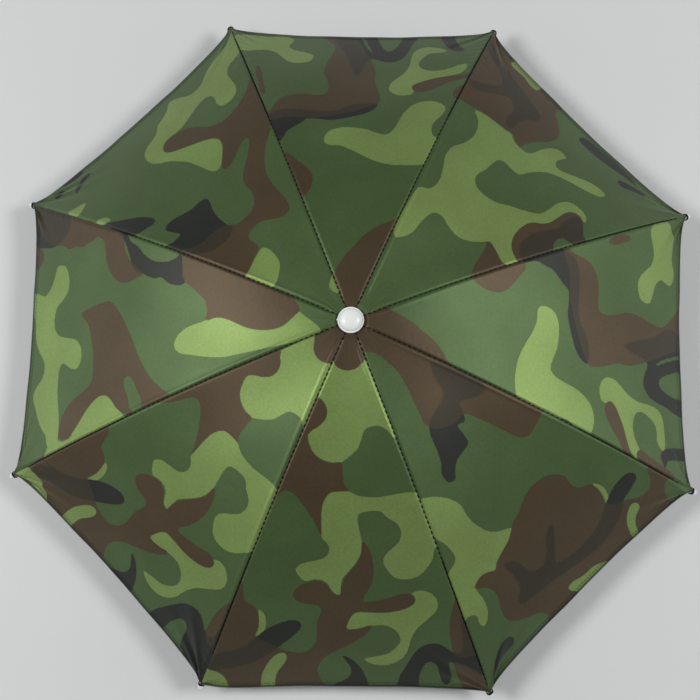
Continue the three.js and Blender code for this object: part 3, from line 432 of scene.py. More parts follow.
SEAM_ROLL_WIDTH = 2.0
SEAM_DEPTH = 1.0  # how deep the seam lies between the rolled edges of its gores
OUTER_SEAM_DEPTH = 1.7  # the same in the outer third, where the cloth is slacker
OUTER_SEAM_RANGE = (0.5, 0.75)
SEAM_END_RANGE = (0.95, 0.975)  # where the seam grows shallower again
SEAM_END_LOSS = 0.55  # the share of its depth that it loses there
SEAM_START_RANGE = (0.03, 0.07)
SEAM_CALM = 5.0  # mm from a seam within which folds and waves die out
SOFT_ROLL_WIDTH = 1.6  # added to the seam's rolls beyond the end of its stitches
SOFT_ROLL_FADE = 0.04

RIDGE_HEIGHT = 0.35  # of the folded allowance beside a seam
RIDGE_PLACE = 3.4
RIDGE_RANGE = (0.05, 0.1)
PUCKER_HEIGHT = 0.16  # of the small waves that the stitches draw in beside a seam
PUCKER_LENGTH = 7.3
PUCKER_REACH = 5
PUCKER_RANGE = (0.08, 0.16)

WAVE_HEIGHT = 0.28
WAVE_RANGE = (0.03, 0.12)
OUTER_WAVE_RANGE = (0.45, 1.0)
GATHER_HEIGHT = 0.025  # of the gathers round the cap
GATHER_START_RANGE = (0.035, 0.06)
GATHER_END_RANGE = (0.08, 0.17)

HEM_FOLD = 6.0  # width of the turned-in hem
HEM_RAISE = 0.2
HEM_STEP = (HEM_FOLD - 1, HEM_FOLD + 0.6)  # mm from the edge, where the fold's raise ends
HEM_ROUNDING = 0.5
HEM_ROUNDING_WIDTH = 1.4
HEM_STITCH_INSET = 0.8  # from the fold's inner end to its stitches
HEM_STITCH_DIP = 0.18
HEM_STITCH_DIP_WIDTH = 0.8
CAP_HOLLOW = 0.8  # how deep the cloth lies under the cap's edge
CAP_HOLLOW_EDGE = (9.5, 14.5)  # mm from the cloth's inner edge

# The share of the gore's length at which the stitches of each seam end, counterclockwise from +X
CHAIN_ENDS = (0.96, 0.97, 0.97, 0.7, 0.95, 0.91, 0.975, 0.95)

# Folds that run from a corner into gore_1 to gore_8: the side of the corner (1 is counterclockwise), the
# direction in degrees (21 is along the seam, 90 along the hem), and the fold's length, height and width
CORNER_FOLDS = [
    [(1, 62, 50, 0.8, 1.8), (1, 50, 36, -0.9, 1.8), (1, 74, 34, -1.3, 1.5), (-1, 70, 34, -1.6, 1.5),
     (-1, 60, 34, 0.9, 1.8)],
    [(1, 60, 30, -1.0, 1.3), (1, 50, 36, 0.6, 2.2), (-1, 61, 20, -1.0, 1.2), (-1, 65, 22, 0.6, 1.2),
     (-1, 70, 22, -1.2, 1.2), (-1, 45, 40, 0.5, 2.4)],
    [(1, 38, 24, 0.6, 1.4), (1, 48, 24, -0.6, 1.4), (1, 58, 24, 0.6, 1.4), (1, 69, 26, -0.7, 1.3),
     (-1, 58, 36, -0.8, 1.8), (-1, 67, 32, 0.6, 1.8)],
    [(1, 52, 32, -1.0, 1.6), (1, 61, 36, 0.9, 1.6), (1, 68, 38, -1.1, 1.3), (1, 75, 40, 0.9, 1.3),
     (-1, 40, 28, 0.7, 1.7), (-1, 62, 40, 0.8, 1.8)],
    [(-1, 56, 18, -1.8, 1.4), (-1, 66, 19, 2.4, 1.4), (-1, 77, 18, -1.6, 1.3), (1, 45, 30, 1.0, 1.8),
     (1, 70, 36, 1.3, 1.5), (1, 79, 38, -1.4, 1.4)],
    [(-1, 50, 40, 0.9, 2.4), (-1, 62, 28, -1.2, 1.4), (-1, 69, 32, 1.4, 1.3), (-1, 77, 34, -1.5, 1.3),
     (1, 50, 46, 1.6, 2.2), (1, 63, 40, -1.3, 1.7), (1, 72, 34, 1.2, 1.5)],
    [(-1, 60, 16, -1.2, 1.2), (1, 56, 40, -0.8, 1.8), (1, 66, 36, 0.7, 1.6), (1, 76, 30, -0.8, 1.4)],
    [(-1, 58, 44, 1.2, 1.8), (-1, 70, 40, -1.1, 1.6), (1, 44, 40, 1.0, 2.2), (1, 62, 40, 1.3, 1.8),
     (1, 74, 30, -1.1, 1.4)],
]
SEAM_LEAN = 0.38  # how far a seam runs sideways for each mm along the gore's middle
FOLD_START = 5  # mm from the corner over which a fold rises
FOLD_FLARE = 0.6  # a fold's width at the corner, as a share of its given one


def rib_height(r):
    return TIP_HEIGHT + DOME_RISE * (1 - (r / TIP_CIRCLE_RADIUS) ** 2)


def rib_slope(r):
    return -2 * DOME_RISE * r / TIP_CIRCLE_RADIUS**2


def hem_radius(gore, across):
    ear = CORNER_EAR * np.abs(across) ** EAR_SHARPNESS
    lean = HEM_LEANS[gore] * across * (1 - across**HEM_LEAN_POWER)
    return CORNER_RADIUS - HEM_DIPS[gore] * (1 - np.abs(across) ** HEM_SQUARENESS) + lean + ear


def plan_radius(gore, s, across):
    return HOLE_RADIUS + (hem_radius(gore, across) - HOLE_RADIUS) * s


def half_width(s):
    """Half of a gore's width, without the dip of its hem."""
    return (HOLE_RADIUS + (CORNER_RADIUS - HOLE_RADIUS) * s) * math.sin(HALF_GORE)


def cloth_base(gore, s, across):
    """The plain outer face of a gore whose middle lies along +X."""
    r = plan_radius(gore, s, across)
    slope = rib_slope(r)
    length = np.hypot(1, slope)
    radius = r - CLOTH_OUTER * slope / length
    height = rib_height(r) + CLOTH_OUTER / length
    sag = GORE_SAG * np.abs(r / TIP_CIRCLE_RADIUS) ** SAG_POWER * (1 - across**2)
    outward = radius * math.cos(HALF_GORE) + sag * slope / length
    sideways = across * radius * math.sin(HALF_GORE)
    return np.stack([outward, sideways, height - sag / length], -1)


def cloth_normals(gore, s, across):
    step = 1e-3
    outward = cloth_base(gore, s + step, across) - cloth_base(gore, s - step, across)
    sideways = cloth_base(gore, s, across + step) - cloth_base(gore, s, across - step)
    return unit(np.cross(outward, sideways))


def seam_distance(gore, s, across, side):
    return (1 - side * across) * plan_radius(gore, s, across) * math.sin(HALF_GORE)


def corner_folds(gore, s, across):
    """The folds that the pull of the tips draws into the cloth."""
    relief = np.zeros(s.shape)
    y = (1 - s) * GORE_LENGTH
    for side, degrees, reach, height, width in CORNER_FOLDS[gore]:
        x = (1 - side * across) * s * HALF_HEM
        distance = np.hypot(x, y) + 1e-6
        angle = np.arctan2(x + SEAM_LEAN * y, y)
        off_line = distance * np.sin(angle - math.radians(degrees))
        fade = np.exp(-((distance / reach) ** 2)) * smooth_step(0, FOLD_START, distance)
        spread = width * (FOLD_FLARE + distance / reach)
        relief += height * np.exp(-((off_line / spread) ** 2)) * fade
    return relief


def undulation(gore, s, across):
    """Broad, faint waves of taut cloth."""
    x = across * s * HALF_HEM
    y = s * GORE_LENGTH
    phase = 1.7 * gore
    waves = np.sin(x / 16 + y / 37 + phase) + 0.7 * np.sin(y / 21 - x / 29 + 2.3 * phase)
    waves += 0.45 * np.sin(x / 7.5 + y / 52 + 0.9 * phase) * smooth_step(*OUTER_WAVE_RANGE, s)
    return WAVE_HEIGHT * waves * (1 - across**2)


def seam_depth(s):
    depth = SEAM_DEPTH + (OUTER_SEAM_DEPTH - SEAM_DEPTH) * smooth_step(*OUTER_SEAM_RANGE, s)
    depth *= 1 - SEAM_END_LOSS * smooth_step(*SEAM_END_RANGE, s)
    return depth * smooth_step(*SEAM_START_RANGE, s)


def allowance_ridge(seam, s, distance):
    wobble = 0.8 + 0.2 * np.sin(s * GORE_LENGTH / 23 + seam)
    return RIDGE_HEIGHT * wobble * np.exp(-((distance - RIDGE_PLACE) ** 2)) * smooth_step(*RIDGE_RANGE, s)


def seam_pucker(seam, s):
    y = s * GORE_LENGTH
    waves = np.sin(2 * math.pi * y / PUCKER_LENGTH + 1.9 * seam + 0.8 * np.sin(y / 31))
    return PUCKER_HEIGHT * waves * smooth_step(*PUCKER_RANGE, s)


def cap_gathers(gore, s, across):
    waves = np.sin(across * 9 + gore * 2.1) + 0.6 * np.sin(across * 17 - gore)
    fade = smooth_step(*GATHER_START_RANGE, s) * (1 - smooth_step(*GATHER_END_RANGE, s))
    return GATHER_HEIGHT * waves * fade * (1 - across**8)


def hem_relief(from_hem):
    relief = HEM_RAISE * (1 - smooth_step(*HEM_STEP, from_hem))
    relief -= HEM_ROUNDING * (1 - smooth_step(0, HEM_ROUNDING_WIDTH, from_hem))
    from_stitches = from_hem - HEM_FOLD + HEM_STITCH_INSET
    return relief - HEM_STITCH_DIP * np.exp(-((from_stitches / HEM_STITCH_DIP_WIDTH) ** 2))


def relief_of(gore, s, across):
    """How far the cloth stands proud of the plain dome, in mm."""
    relief = corner_folds(gore, s, across) + undulation(gore, s, across) * smooth_step(*WAVE_RANGE, s)
    for side in (-1, 1):
        seam = gore if side > 0 else (gore - 1) % GORE_COUNT
        end = CHAIN_ENDS[seam]
        distance = seam_distance(gore, s, across, side)
        slack = SOFT_ROLL_WIDTH * smooth_step(end - SOFT_ROLL_FADE, end + SOFT_ROLL_FADE, s)
        open_cloth = smooth_step(0.0, SEAM_ROLL_WIDTH + slack, distance)
        relief = relief * smooth_step(0.0, SEAM_CALM, distance) - seam_depth(s) * (1 - open_cloth)
        if side > 0:
            relief += allowance_ridge(seam, s, distance)
        relief += seam_pucker(seam, s) * open_cloth * np.exp(-distance / PUCKER_REACH)
    relief += cap_gathers(gore, s, across) + hem_relief((1 - s) * GORE_LENGTH)
    return relief - CAP_HOLLOW * (1 - smooth_step(*CAP_HOLLOW_EDGE, s * GORE_LENGTH))


def cloth_points(gore, s, across, offset):
    """Points of the cloth as it lies, `offset` mm off its outer face."""
    s, across = np.broadcast_arrays(np.asarray(s, float), np.asarray(across, float))
    normals = cloth_normals(gore, s, across)
    for side in (-1, 1):
        beside = np.exp(-((seam_distance(gore, s, across, side) / 3) ** 2))
        off_seam = np.array([-math.sin(HALF_GORE), side * math.cos(HALF_GORE), 0])
        normals = normals - (beside * (normals @ off_seam))[..., None] * off_seam
    lift = relief_of(gore, s, across) + offset
    points = cloth_base(gore, s, across) + unit(normals) * lift[..., None]
    return turned_about_axis(points, GORE_ANGLES[gore])


def turned_about_axis(points, angle):
    c = math.cos(angle)
    s = math.sin(angle)
    turn = np.array([[c, s, 0], [-s, c, 0], [0, 0, 1]])
    return np.asarray(points, float) @ turn


def unit(vectors):
    return vectors / np.linalg.norm(vectors, axis=-1, keepdims=True)


# Meshes and pieces

WELD_DISTANCE = 1e-6  # metres


def grid_faces(rows, columns, wrap=False):
    last = columns if wrap else columns - 1
    i, j = np.meshgrid(np.arange(rows - 1), np.arange(last), indexing="ij")
    k = (j + 1) % columns
    corners = [i * columns + j, (i + 1) * columns + j, (i + 1) * columns + k, i * columns + k]
    return np.stack(corners, -1).reshape(-1, 4)


def weld_mesh(mesh):
    shape = bmesh.new()
    shape.from_mesh(mesh)
    bmesh.ops.remove_doubles(shape, verts=shape.verts, dist=WELD_DISTANCE)
    bmesh.ops.recalc_face_normals(shape, faces=shape.faces)
    shape.to_mesh(mesh)
    shape.free()


def make_piece(name, parts, material, replaced=(), sharp=None, weld=True):
    """One mesh from several (points, faces) parts, in place and riding on the hat."""
    points = []
    faces = []
    start = 0
    for part_points, part_faces in parts:
        flat = np.asarray(part_points, float).reshape(-1, 3)
        points.append(flat)
        faces += (np.asarray(part_faces) + start).tolist()
        start += len(flat)
    mesh = bpy.data.meshes.new(name)
    mesh.from_pydata((np.concatenate(points) * MM).tolist(), [], faces)
    if weld:
        weld_mesh(mesh)
    mesh.shade_smooth()
    if sharp is not None:
        mesh.set_sharp_from_angle(angle=math.radians(sharp))
    mesh.materials.append(material)
    obj = bpy.data.objects.new(name, mesh)
    bpy.context.scene.collection.objects.link(obj)
    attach(obj, "root")
    if replaced:
        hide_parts(*replaced)
    return obj


def thicken(obj, thickness):
    """Gives a sheet its thickness, from its outer face inward."""
    wall = obj.modifiers.new("wall", "SOLIDIFY")
    wall.thickness = thickness * MM
    wall.offset = -1
    return wall


# Materials

MIX_INPUTS = (0, 6, 7)  # of a colour Mix node: the factor and its two colours


class Shade:
    """A material whose nodes are added one by one."""

    def __init__(self, name, roughness, **values):
        self.material = bpy.data.materials.new(name)
        self.material.use_nodes = True
        self.tree = self.material.node_tree
        self.shader = self.tree.nodes["Principled BSDF"]
        self.set(self.shader, Roughness=roughness, **values)

    def fill(self, sockets, values):
        """Links each socket to its value where that is another node's output, and else sets it."""
        for socket, value in zip(sockets, values):
            if isinstance(value, bpy.types.NodeSocket):
                self.tree.links.new(value, socket)
            else:
                socket.default_value = value

    def set(self, node, **values):
        self.fill([node.inputs[name.replace("_", " ")] for name in values], values.values())

    def node(self, kind, output=0, settings=(), **values):
        made = self.tree.nodes.new("ShaderNode" + kind)
        for setting, value in settings:
            setattr(made, setting, value)
        self.set(made, **values)
        return made.outputs[output]

    def math(self, operation, first, second):
        made = self.tree.nodes.new("ShaderNodeMath")
        made.operation = operation
        self.fill(made.inputs, (first, second))
        return made.outputs[0]

    def mix(self, factor, first, second, blend="MIX"):
        made = self.tree.nodes.new("ShaderNodeMix")
        made.data_type = "RGBA"
        made.blend_type = blend
        self.fill([made.inputs[number] for number in MIX_INPUTS], (factor, first, second))
        return made.outputs[2]

    def smooth(self, value, low, high, start=0.0, end=1.0):
        made = self.tree.nodes.new("ShaderNodeMapRange")
        made.interpolation_type = "SMOOTHSTEP"
        self.fill(made.inputs, (value, low, high, start, end))
        return made.outputs[0]

    def noise(self, where, scale, detail=2.0):
        return self.node("TexNoise", Vector=where, Scale=scale, Detail=detail)

    def speckle(self, where, scale, detail, start=0.0, end=1.0):
        """Noise with its contrast spread from start to end."""
        return self.smooth(self.noise(where, scale, detail), 0.3, 0.7, start, end)

    def waves(self, where, direction, scale, **values):
        return self.node("TexWave", 1, [("bands_direction", direction)], Vector=where, Scale=scale, **values)

    def here(self):
        return self.node("TexCoord", "Object")

    def attribute(self, name, output="Fac"):
        return self.node("Attribute", output, [("attribute_name", name)])

    def colour(self, colour):
        self.set(self.shader, Base_Color=colour)

    def bump(self, height, distance, strength):
        normal = self.node("Bump", Height=height, Distance=distance, Strength=strength)
        self.set(self.shader, Normal=normal)


def srgb(red, green, blue):
    """A colour given from 0 to 255 as Blender's linear values."""

    def linear(value):
        share = value / 255
        return share / 12.92 if share <= 0.04045 else ((share + 0.055) / 1.055) ** 2.4

    return (linear(red), linear(green), linear(blue), 1.0)


GREEN = srgb(80, 102, 62)
LIGHT_GREEN = srgb(128, 152, 86)
BROWN = srgb(84, 71, 52)
BLACK = srgb(48, 50, 45)
BLACK_OVER_BROWN = 0.6  # how much black covers brown
BACK_TINT = srgb(112, 124, 98)
BACK_TINT_SHARE = 0.55
EDGE_SOFTNESS = 0.3  # of the print's edges, in mm
BROWN_EDGE_SOFTNESS = 1.3  # of black over brown
EDGE_WOBBLE = 0.22
PAINTED_HEM_SHADE = 0.25  # how dark the painted shade at the hem's folded edge is
PAINTED_HEM_SHADE_SPAN = (4.2, 2.6)  # mm from the end of the gore, between which the painted shade darkens the cloth


def print_colour(shade, cloth):
    wobble = shade.speckle(cloth, 700.0, 2.0, -EDGE_WOBBLE, EDGE_WOBBLE)
    masks = {}
    for ink in INKS[1:]:
        field = shade.math("ADD", shade.attribute(ink + "_ink"), wobble)
        softness = EDGE_SOFTNESS
        if ink == "black":
            softness = shade.smooth(masks["brown"], 0.0, 1.0, EDGE_SOFTNESS, BROWN_EDGE_SOFTNESS)
        hardness = shade.math("DIVIDE", field, softness)
        masks[ink] = shade.smooth(hardness, -1.0, 1.0)
    colour = shade.mix(masks["light"], GREEN, LIGHT_GREEN)
    colour = shade.mix(masks["brown"], colour, BROWN)
    over_brown = shade.smooth(masks["brown"], 0.0, 1.0, 1.0, BLACK_OVER_BROWN)
    return shade.mix(shade.math("MULTIPLY", masks["black"], over_brown), colour, BLACK)


def cloth_tone_and_hem_shade(shade, cloth):
    """Patches, grain and mottle of the dye, and painted shade along the folded edge of the hem."""
    patchy = shade.speckle(cloth, 14.0, 3.0, 0.93, 1.07)
    grain = shade.speckle(cloth, 1500.0, 1.0, 0.9, 1.1)
    mottle = shade.speckle(cloth, 380.0, 2.0, 0.95, 1.05)
    tone = shade.math("MULTIPLY", shade.math("MULTIPLY", patchy, grain), mottle)
    along = shade.node("SeparateXYZ", 1, Vector=cloth)
    # Painted shade: the cloth darkens over its last few mm towards the hem, standing in for the shadow at the
    # fold's edge.
    start, end = [(GORE_LENGTH - distance) * MM for distance in PAINTED_HEM_SHADE_SPAN]
    tone = shade.math("MULTIPLY", tone, shade.smooth(along, start, end, 1.0, PAINTED_HEM_SHADE))
    return shade.node("CombineColor", Red=tone, Green=tone, Blue=tone)


def cloth_material(name, back=False):
    shade = Shade(name, 0.4, Metallic=0.42, Specular_IOR_Level=0.3, Sheen_Weight=0.3, Sheen_Roughness=0.35)
    cloth = shade.attribute("cloth_place", "Vector")
    colour = print_colour(shade, cloth)
    if back:
        colour = shade.mix(BACK_TINT_SHARE, colour, BACK_TINT)
    shade.colour(shade.mix(1.0, colour, cloth_tone_and_hem_shade(shade, cloth), "MULTIPLY"))
    threads = [shade.waves(cloth, direction, 650.0, Distortion=0.6) for direction in "XY"]
    shade.bump(shade.math("MAXIMUM", *threads), 0.00005, 0.6)
    return shade.material


def thread_material(name, colour):
    shade = Shade(name, 0.8, Specular_IOR_Level=0.2)
    where = shade.here()
    darker = tuple(0.6 * part for part in colour[:3]) + (1.0,)
    shade.colour(shade.mix(shade.speckle(where, 900.0, 2.0), colour, darker))
    shade.bump(shade.waves(where, "DIAGONAL", 900.0), 0.0001, 0.5)
    return shade.material


def white_plastic():
    shade = Shade("white_plastic", 0.3, Specular_IOR_Level=0.5)
    where = shade.here()
    speck = shade.smooth(shade.noise(where, 60.0, 4.0), 0.35, 0.7)
    shade.colour(shade.mix(speck, srgb(246, 248, 244), srgb(236, 239, 234)))
    shade.set(shade.shader, Roughness=shade.speckle(where, 320.0, 3.0, 0.26, 0.42))
    shade.bump(shade.noise(where, 240.0, 3.0), 0.0002, 0.5)
    return shade.material


def steel():
    shade = Shade("rib_steel", 0.3, Metallic=1.0)
    where = shade.here()
    streak = shade.noise(where, 260.0, 4.0)
    shade.colour(shade.mix(streak, srgb(196, 198, 200), srgb(150, 153, 156)))
    shade.set(shade.shader, Roughness=shade.smooth(streak, 0.3, 0.7, 0.22, 0.42))
    shade.bump(shade.noise(where, 1400.0), 0.00004, 0.3)
    return shade.material


def black_plastic():
    shade = Shade("black_plastic", 0.42, Specular_IOR_Level=0.5)
    where = shade.here()
    mottled = shade.speckle(where, 90.0, 3.0)
    shade.colour(shade.mix(mottled, srgb(30, 31, 32), srgb(42, 43, 44)))
    shade.set(shade.shader, Roughness=shade.smooth(mottled, 0.0, 1.0, 0.34, 0.5))
    shade.bump(shade.noise(where, 1600.0), 0.00008, 0.4)
    return shade.material


def elastic_material():
    shade = Shade("band_elastic", 0.85, Sheen_Weight=0.3, Sheen_Roughness=0.5)
    where = shade.here()
    fuzz = shade.speckle(where, 500.0, 3.0)
    shade.colour(shade.mix(fuzz, srgb(30, 31, 33), srgb(48, 49, 52)))
    ribs = shade.waves(where, "Z", 330.0, Distortion=0.4)
    shade.bump(shade.math("ADD", ribs, fuzz), 0.0003, 0.6)
    return shade.material


CLOTH = cloth_material("canopy_cloth")
CLOTH_BACK = cloth_material("canopy_cloth_back", back=True)
SEAM_THREAD = thread_material("seam_thread", srgb(16, 19, 13))
HEM_THREAD = thread_material("hem_thread", srgb(64, 78, 52))
BAND_THREAD = thread_material("band_thread", srgb(70, 71, 74))
CLOTH_STRIP = thread_material("seam_allowance", srgb(84, 100, 70))
WHITE = white_plastic()
STEEL = steel()
BLACK_PLASTIC = black_plastic()
ELASTIC = elastic_material()

# The canopy

WIDE_ROWS = 142
FINE_ROWS = 34
FINE_FROM = 50.0  # mm from the hem, where the rows close up for the folds of the corners
FINE_TO = 9.5
LAST_ROWS = (8.0, 6.5, 5.8, 5.2, 4.4, 3.4, 2.2, 1.2, 0.6, 0.0)  # mm from the hem
HEM_RETURN = ((0.0, -0.8), (0.8, -1.0), (3.0, -1.1), (HEM_FOLD, -1.0))  # mm from the hem, mm off the face
MIDDLE_COLUMNS = 92
CROWDING = 1.13  # how much closer the columns lie beside the seams, as an angle below a right one
BORDER = (0.0, 0.5, 1.0, 1.6, 2.4, 3.4, 4.6, 6.0)  # mm from a seam
FULL_BORDER_WIDTH = 18  # half of a gore's width from which its border columns keep these distances


def gore_rows():
    """Shares of the length of each row of the outer face."""
    wide = np.linspace(0, 1 - FINE_FROM / GORE_LENGTH, WIDE_ROWS)[:-1]
    fine = np.linspace(1 - FINE_FROM / GORE_LENGTH, 1 - FINE_TO / GORE_LENGTH, FINE_ROWS)
    close = 1 - np.array(LAST_ROWS) / GORE_LENGTH
    return np.concatenate([wide, fine, close])


def gore_columns(s):
    """Places across of each column at every row, close together beside the seams."""
    width = half_width(s)
    shrink = np.minimum(1, width / FULL_BORDER_WIDTH)
    border = np.array(BORDER)[None, :] * (shrink / width)[:, None]
    inner = border[:, -1]
    spread = np.sin(np.linspace(-CROWDING, CROWDING, MIDDLE_COLUMNS)) / math.sin(CROWDING)
    middle = spread[None, 1:-1] * (1 - inner)[:, None]
    return np.concatenate([border - 1, middle, (1 - border)[:, ::-1]], 1)


def keep_values(mesh, name, kind, field, values):
    """Stores a value for each point of the mesh, for its material."""
    layer = mesh.attributes.new(name, kind, "POINT")
    layer.data.foreach_set(field, values.ravel().astype(np.float32))


def make_gore(gore):
    rows = gore_rows()
    across = gore_columns(rows)
    s = np.repeat(rows[:, None], across.shape[1], 1)
    offset = np.zeros(s.shape)
    for from_hem, drop in HEM_RETURN:
        s = np.vstack([s, np.full((1, s.shape[1]), 1 - from_hem / GORE_LENGTH)])
        across = np.vstack([across, across[-1:]])
        offset = np.vstack([offset, np.full((1, s.shape[1]), drop)])
    part = (cloth_points(gore, s, across, offset), grid_faces(*s.shape))
    name = f"gore_{gore + 1}"
    obj = make_piece(name + "_cloth", [part], CLOTH, [name], weld=False)
    for ink, field in ink_fields(gore, s.ravel(), across.ravel()).items():
        keep_values(obj.data, ink + "_ink", "FLOAT", "value", field)
    flat = np.stack([across * s * HALF_HEM, s * GORE_LENGTH, np.zeros(s.shape)], -1) * MM
    keep_values(obj.data, "cloth_place", "FLOAT_VECTOR", "vector", flat)
    obj.data.materials.append(CLOTH_BACK)
    thicken(obj, CLOTH_THICKNESS).material_offset = 1
    return obj


gores = [make_gore(gore) for gore in range(GORE_COUNT)]


# Wires, turned and swept pieces

END_STEPS = ((0.0, 0.0), (0.04, 0.55), (0.18, 0.85), (0.5, 1.0))  # shares of the radius: along, across


def circle(count):
    return np.arange(count) * 2 * math.pi / count


def tube(line, radius, sides=12):
    """A round wire along a line, with slightly domed ends."""
    line = np.asarray(line, float)
    start = unit(line[1] - line[0])
    end = unit(line[-1] - line[-2])
    head = [line[0] + start * along * radius for along, _ in END_STEPS]
    tail = [line[-1] - end * along * radius for along, _ in reversed(END_STEPS)]
    path = np.array(head + list(line[1:-1]) + tail)
    shares = [across for _, across in END_STEPS]
    radii = radius * np.array(shares + [1.0] * (len(line) - 2) + shares[::-1])
    tangents = unit(np.gradient(path, axis=0))
    normal = np.cross(tangents[0], (0, 0, 1))
    angles = circle(sides)
    rings = []
    for place, tangent, size in zip(path, tangents, radii):
        normal = unit(normal - tangent * (normal @ tangent))
        side = np.cross(tangent, normal)
        rings.append(place + size * (np.cos(angles)[:, None] * normal + np.sin(angles)[:, None] * side))
    return np.array(rings), grid_faces(len(path), sides, wrap=True)


def turned(profile, sides=64, slots=(), slot_width=0.0, slot_radius=0.0):
    """A [radius, height] profile turned about Z; slots at the given angles are cut in to slot_radius."""
    angles = circle(sides)
    profile = np.asarray(profile, float)
    radii = np.repeat(profile[:, :1], sides, 1)
    for slot in slots:
        off = np.abs((angles - slot + math.pi) % (2 * math.pi) - math.pi)
        inside = off * profile[:, :1].max() < slot_width / 2
        radii[:, inside] = np.minimum(radii[:, inside], slot_radius)
    heights = np.repeat(profile[:, 1:], sides, 1)
    points = np.stack([radii * np.cos(angles), radii * np.sin(angles), heights], -1)
    return points, grid_faces(len(profile), sides, wrap=True)


def along_rib(part, angle, r):
    """Places a part turned about Z so that its Z runs outward along the rib at plan radius r."""
    points, faces = part
    slope = rib_slope(r)
    length = math.hypot(1, slope)
    outward = np.array([1 / length, 0, slope / length])
    across = np.array([0.0, 1.0, 0.0])
    up = np.cross(outward, across)
    placed = points @ np.array([up, across, outward]) + (r, 0, rib_height(r))
    return turned_about_axis(placed, angle), faces


def arc(centre_radius, centre_height, radius, start, end, steps):
    """Profile points on a circle, angles in degrees from the outward direction."""
    angles = np.radians(np.linspace(start, end, steps))
    return [[centre_radius + radius * math.cos(a), centre_height + radius * math.sin(a)] for a in angles]


STITCH_SIDES = 6
STITCH_STEPS = np.array([-0.5, -0.44, -0.25, 0.0, 0.25, 0.44, 0.5])  # along a stitch
STITCH_SIZES = np.array([0.0, 0.62, 0.95, 1.0, 0.95, 0.62, 0.0])  # of its radius there
STITCH_BOW = 0.6  # of its radius


def capsules(middles, alongs, ups, length, radius):
    """Stitches: short rounded bars at the middles, pointing along, bowed up a little."""
    sizes = STITCH_SIZES * radius
    bow = (1 - (2 * STITCH_STEPS) ** 2) * radius * STITCH_BOW
    sideways = np.cross(alongs, ups)
    angles = circle(STITCH_SIDES)
    points = (
        middles[:, None, None, :]
        + alongs[:, None, None, :] * (STITCH_STEPS * length)[None, :, None, None]
        + ups[:, None, None, :] * (bow[:, None] + sizes[:, None] * np.cos(angles))[None, :, :, None]
        + sideways[:, None, None, :] * (sizes[:, None] * np.sin(angles))[None, :, :, None]
    )
    faces = grid_faces(len(STITCH_STEPS), STITCH_SIDES, wrap=True)
    shift = np.arange(len(middles))[:, None, None] * len(STITCH_STEPS) * STITCH_SIDES
    return points, (faces[None] + shift).reshape(-1, 4)


def stitches_on_cloth(gore, s, across, run, length, radius, offset):
    """Stitches at the given places of the cloth; run is 's' along the gore or 'across' it."""
    step = 2e-3
    ahead = (s + step, across) if run == "s" else (s, across + step)
    middles = cloth_points(gore, s, across, offset)
    alongs = unit(cloth_points(gore, *ahead, offset) - middles)
    ups = unit(turned_about_axis(cloth_normals(gore, s, across), GORE_ANGLES[gore]))
    ups = unit(ups - alongs * (ups * alongs).sum(1, keepdims=True))
    return capsules(middles, alongs, ups, length, radius)


SEAM_STITCH_START = 9  # mm along the gore
SEAM_PITCH = 4.9
SEAM_DASH = 3.3
SEAM_STITCH_RADIUS = 0.45
SEAM_STITCH_HEIGHT = 0.2
CHAIN_START = 0.62  # share of a seam from which its stitches close up into a line
CHAIN_DASH = 5.2
CHAIN_RADIUS = 0.5
CHAIN_HEIGHT = 0.25
CHAIN_SINK = 0.6  # how deep its last stitches sink into the seam
CHAIN_SINK_SHARE = 0.06  # of the gore's length, over which they sink
HEM_PITCH = 3.4
HEM_DASH = 2.4
HEM_STITCH_RADIUS = 0.22
HEM_STITCH_HEIGHT = 0.05
HEM_STITCH_MARGIN = 5  # mm from a corner
ALLOWANCE_WIDTH = 3.6
ALLOWANCE_THICKNESS = 0.3
ALLOWANCE_DROP = -0.5
ALLOWANCE_ROWS = np.linspace(0.03, 0.985, 120)
ALLOWANCE_COLUMNS = (1.0, 0.7, 0.4, 0.15, 0.0)  # shares of its width from the seam


def seam_stitches(gore):
    """The dashes in the seam on the gore's counterclockwise side."""
    end = CHAIN_ENDS[gore]
    s = np.arange(SEAM_STITCH_START, GORE_LENGTH * end, SEAM_PITCH) / GORE_LENGTH
    taut = s[s < CHAIN_START]
    slack = s[s >= CHAIN_START]
    sunk = CHAIN_HEIGHT - CHAIN_SINK * smooth_step(end - CHAIN_SINK_SHARE, end, slack)
    parts = [
        stitches_on_cloth(gore, places, np.ones(places.shape), "s", length, radius, height)
        for places, length, radius, height in (
            (taut, SEAM_DASH, SEAM_STITCH_RADIUS, SEAM_STITCH_HEIGHT),
            (slack, CHAIN_DASH, CHAIN_RADIUS, sunk),
        )
    ]
    return make_piece(f"seam_stitches_{gore + 1}", parts, SEAM_THREAD)


def hem_stitches(gore):
    half = HALF_HEM - HEM_STITCH_MARGIN
    across = np.arange(-half, half, HEM_PITCH) / HALF_HEM
    s = np.full(across.shape, 1 - (HEM_FOLD - HEM_STITCH_INSET) / GORE_LENGTH)
    part = stitches_on_cloth(gore, s, across, "across", HEM_DASH, HEM_STITCH_RADIUS, HEM_STITCH_HEIGHT)
    return make_piece(f"hem_stitches_{gore + 1}", [part], HEM_THREAD)


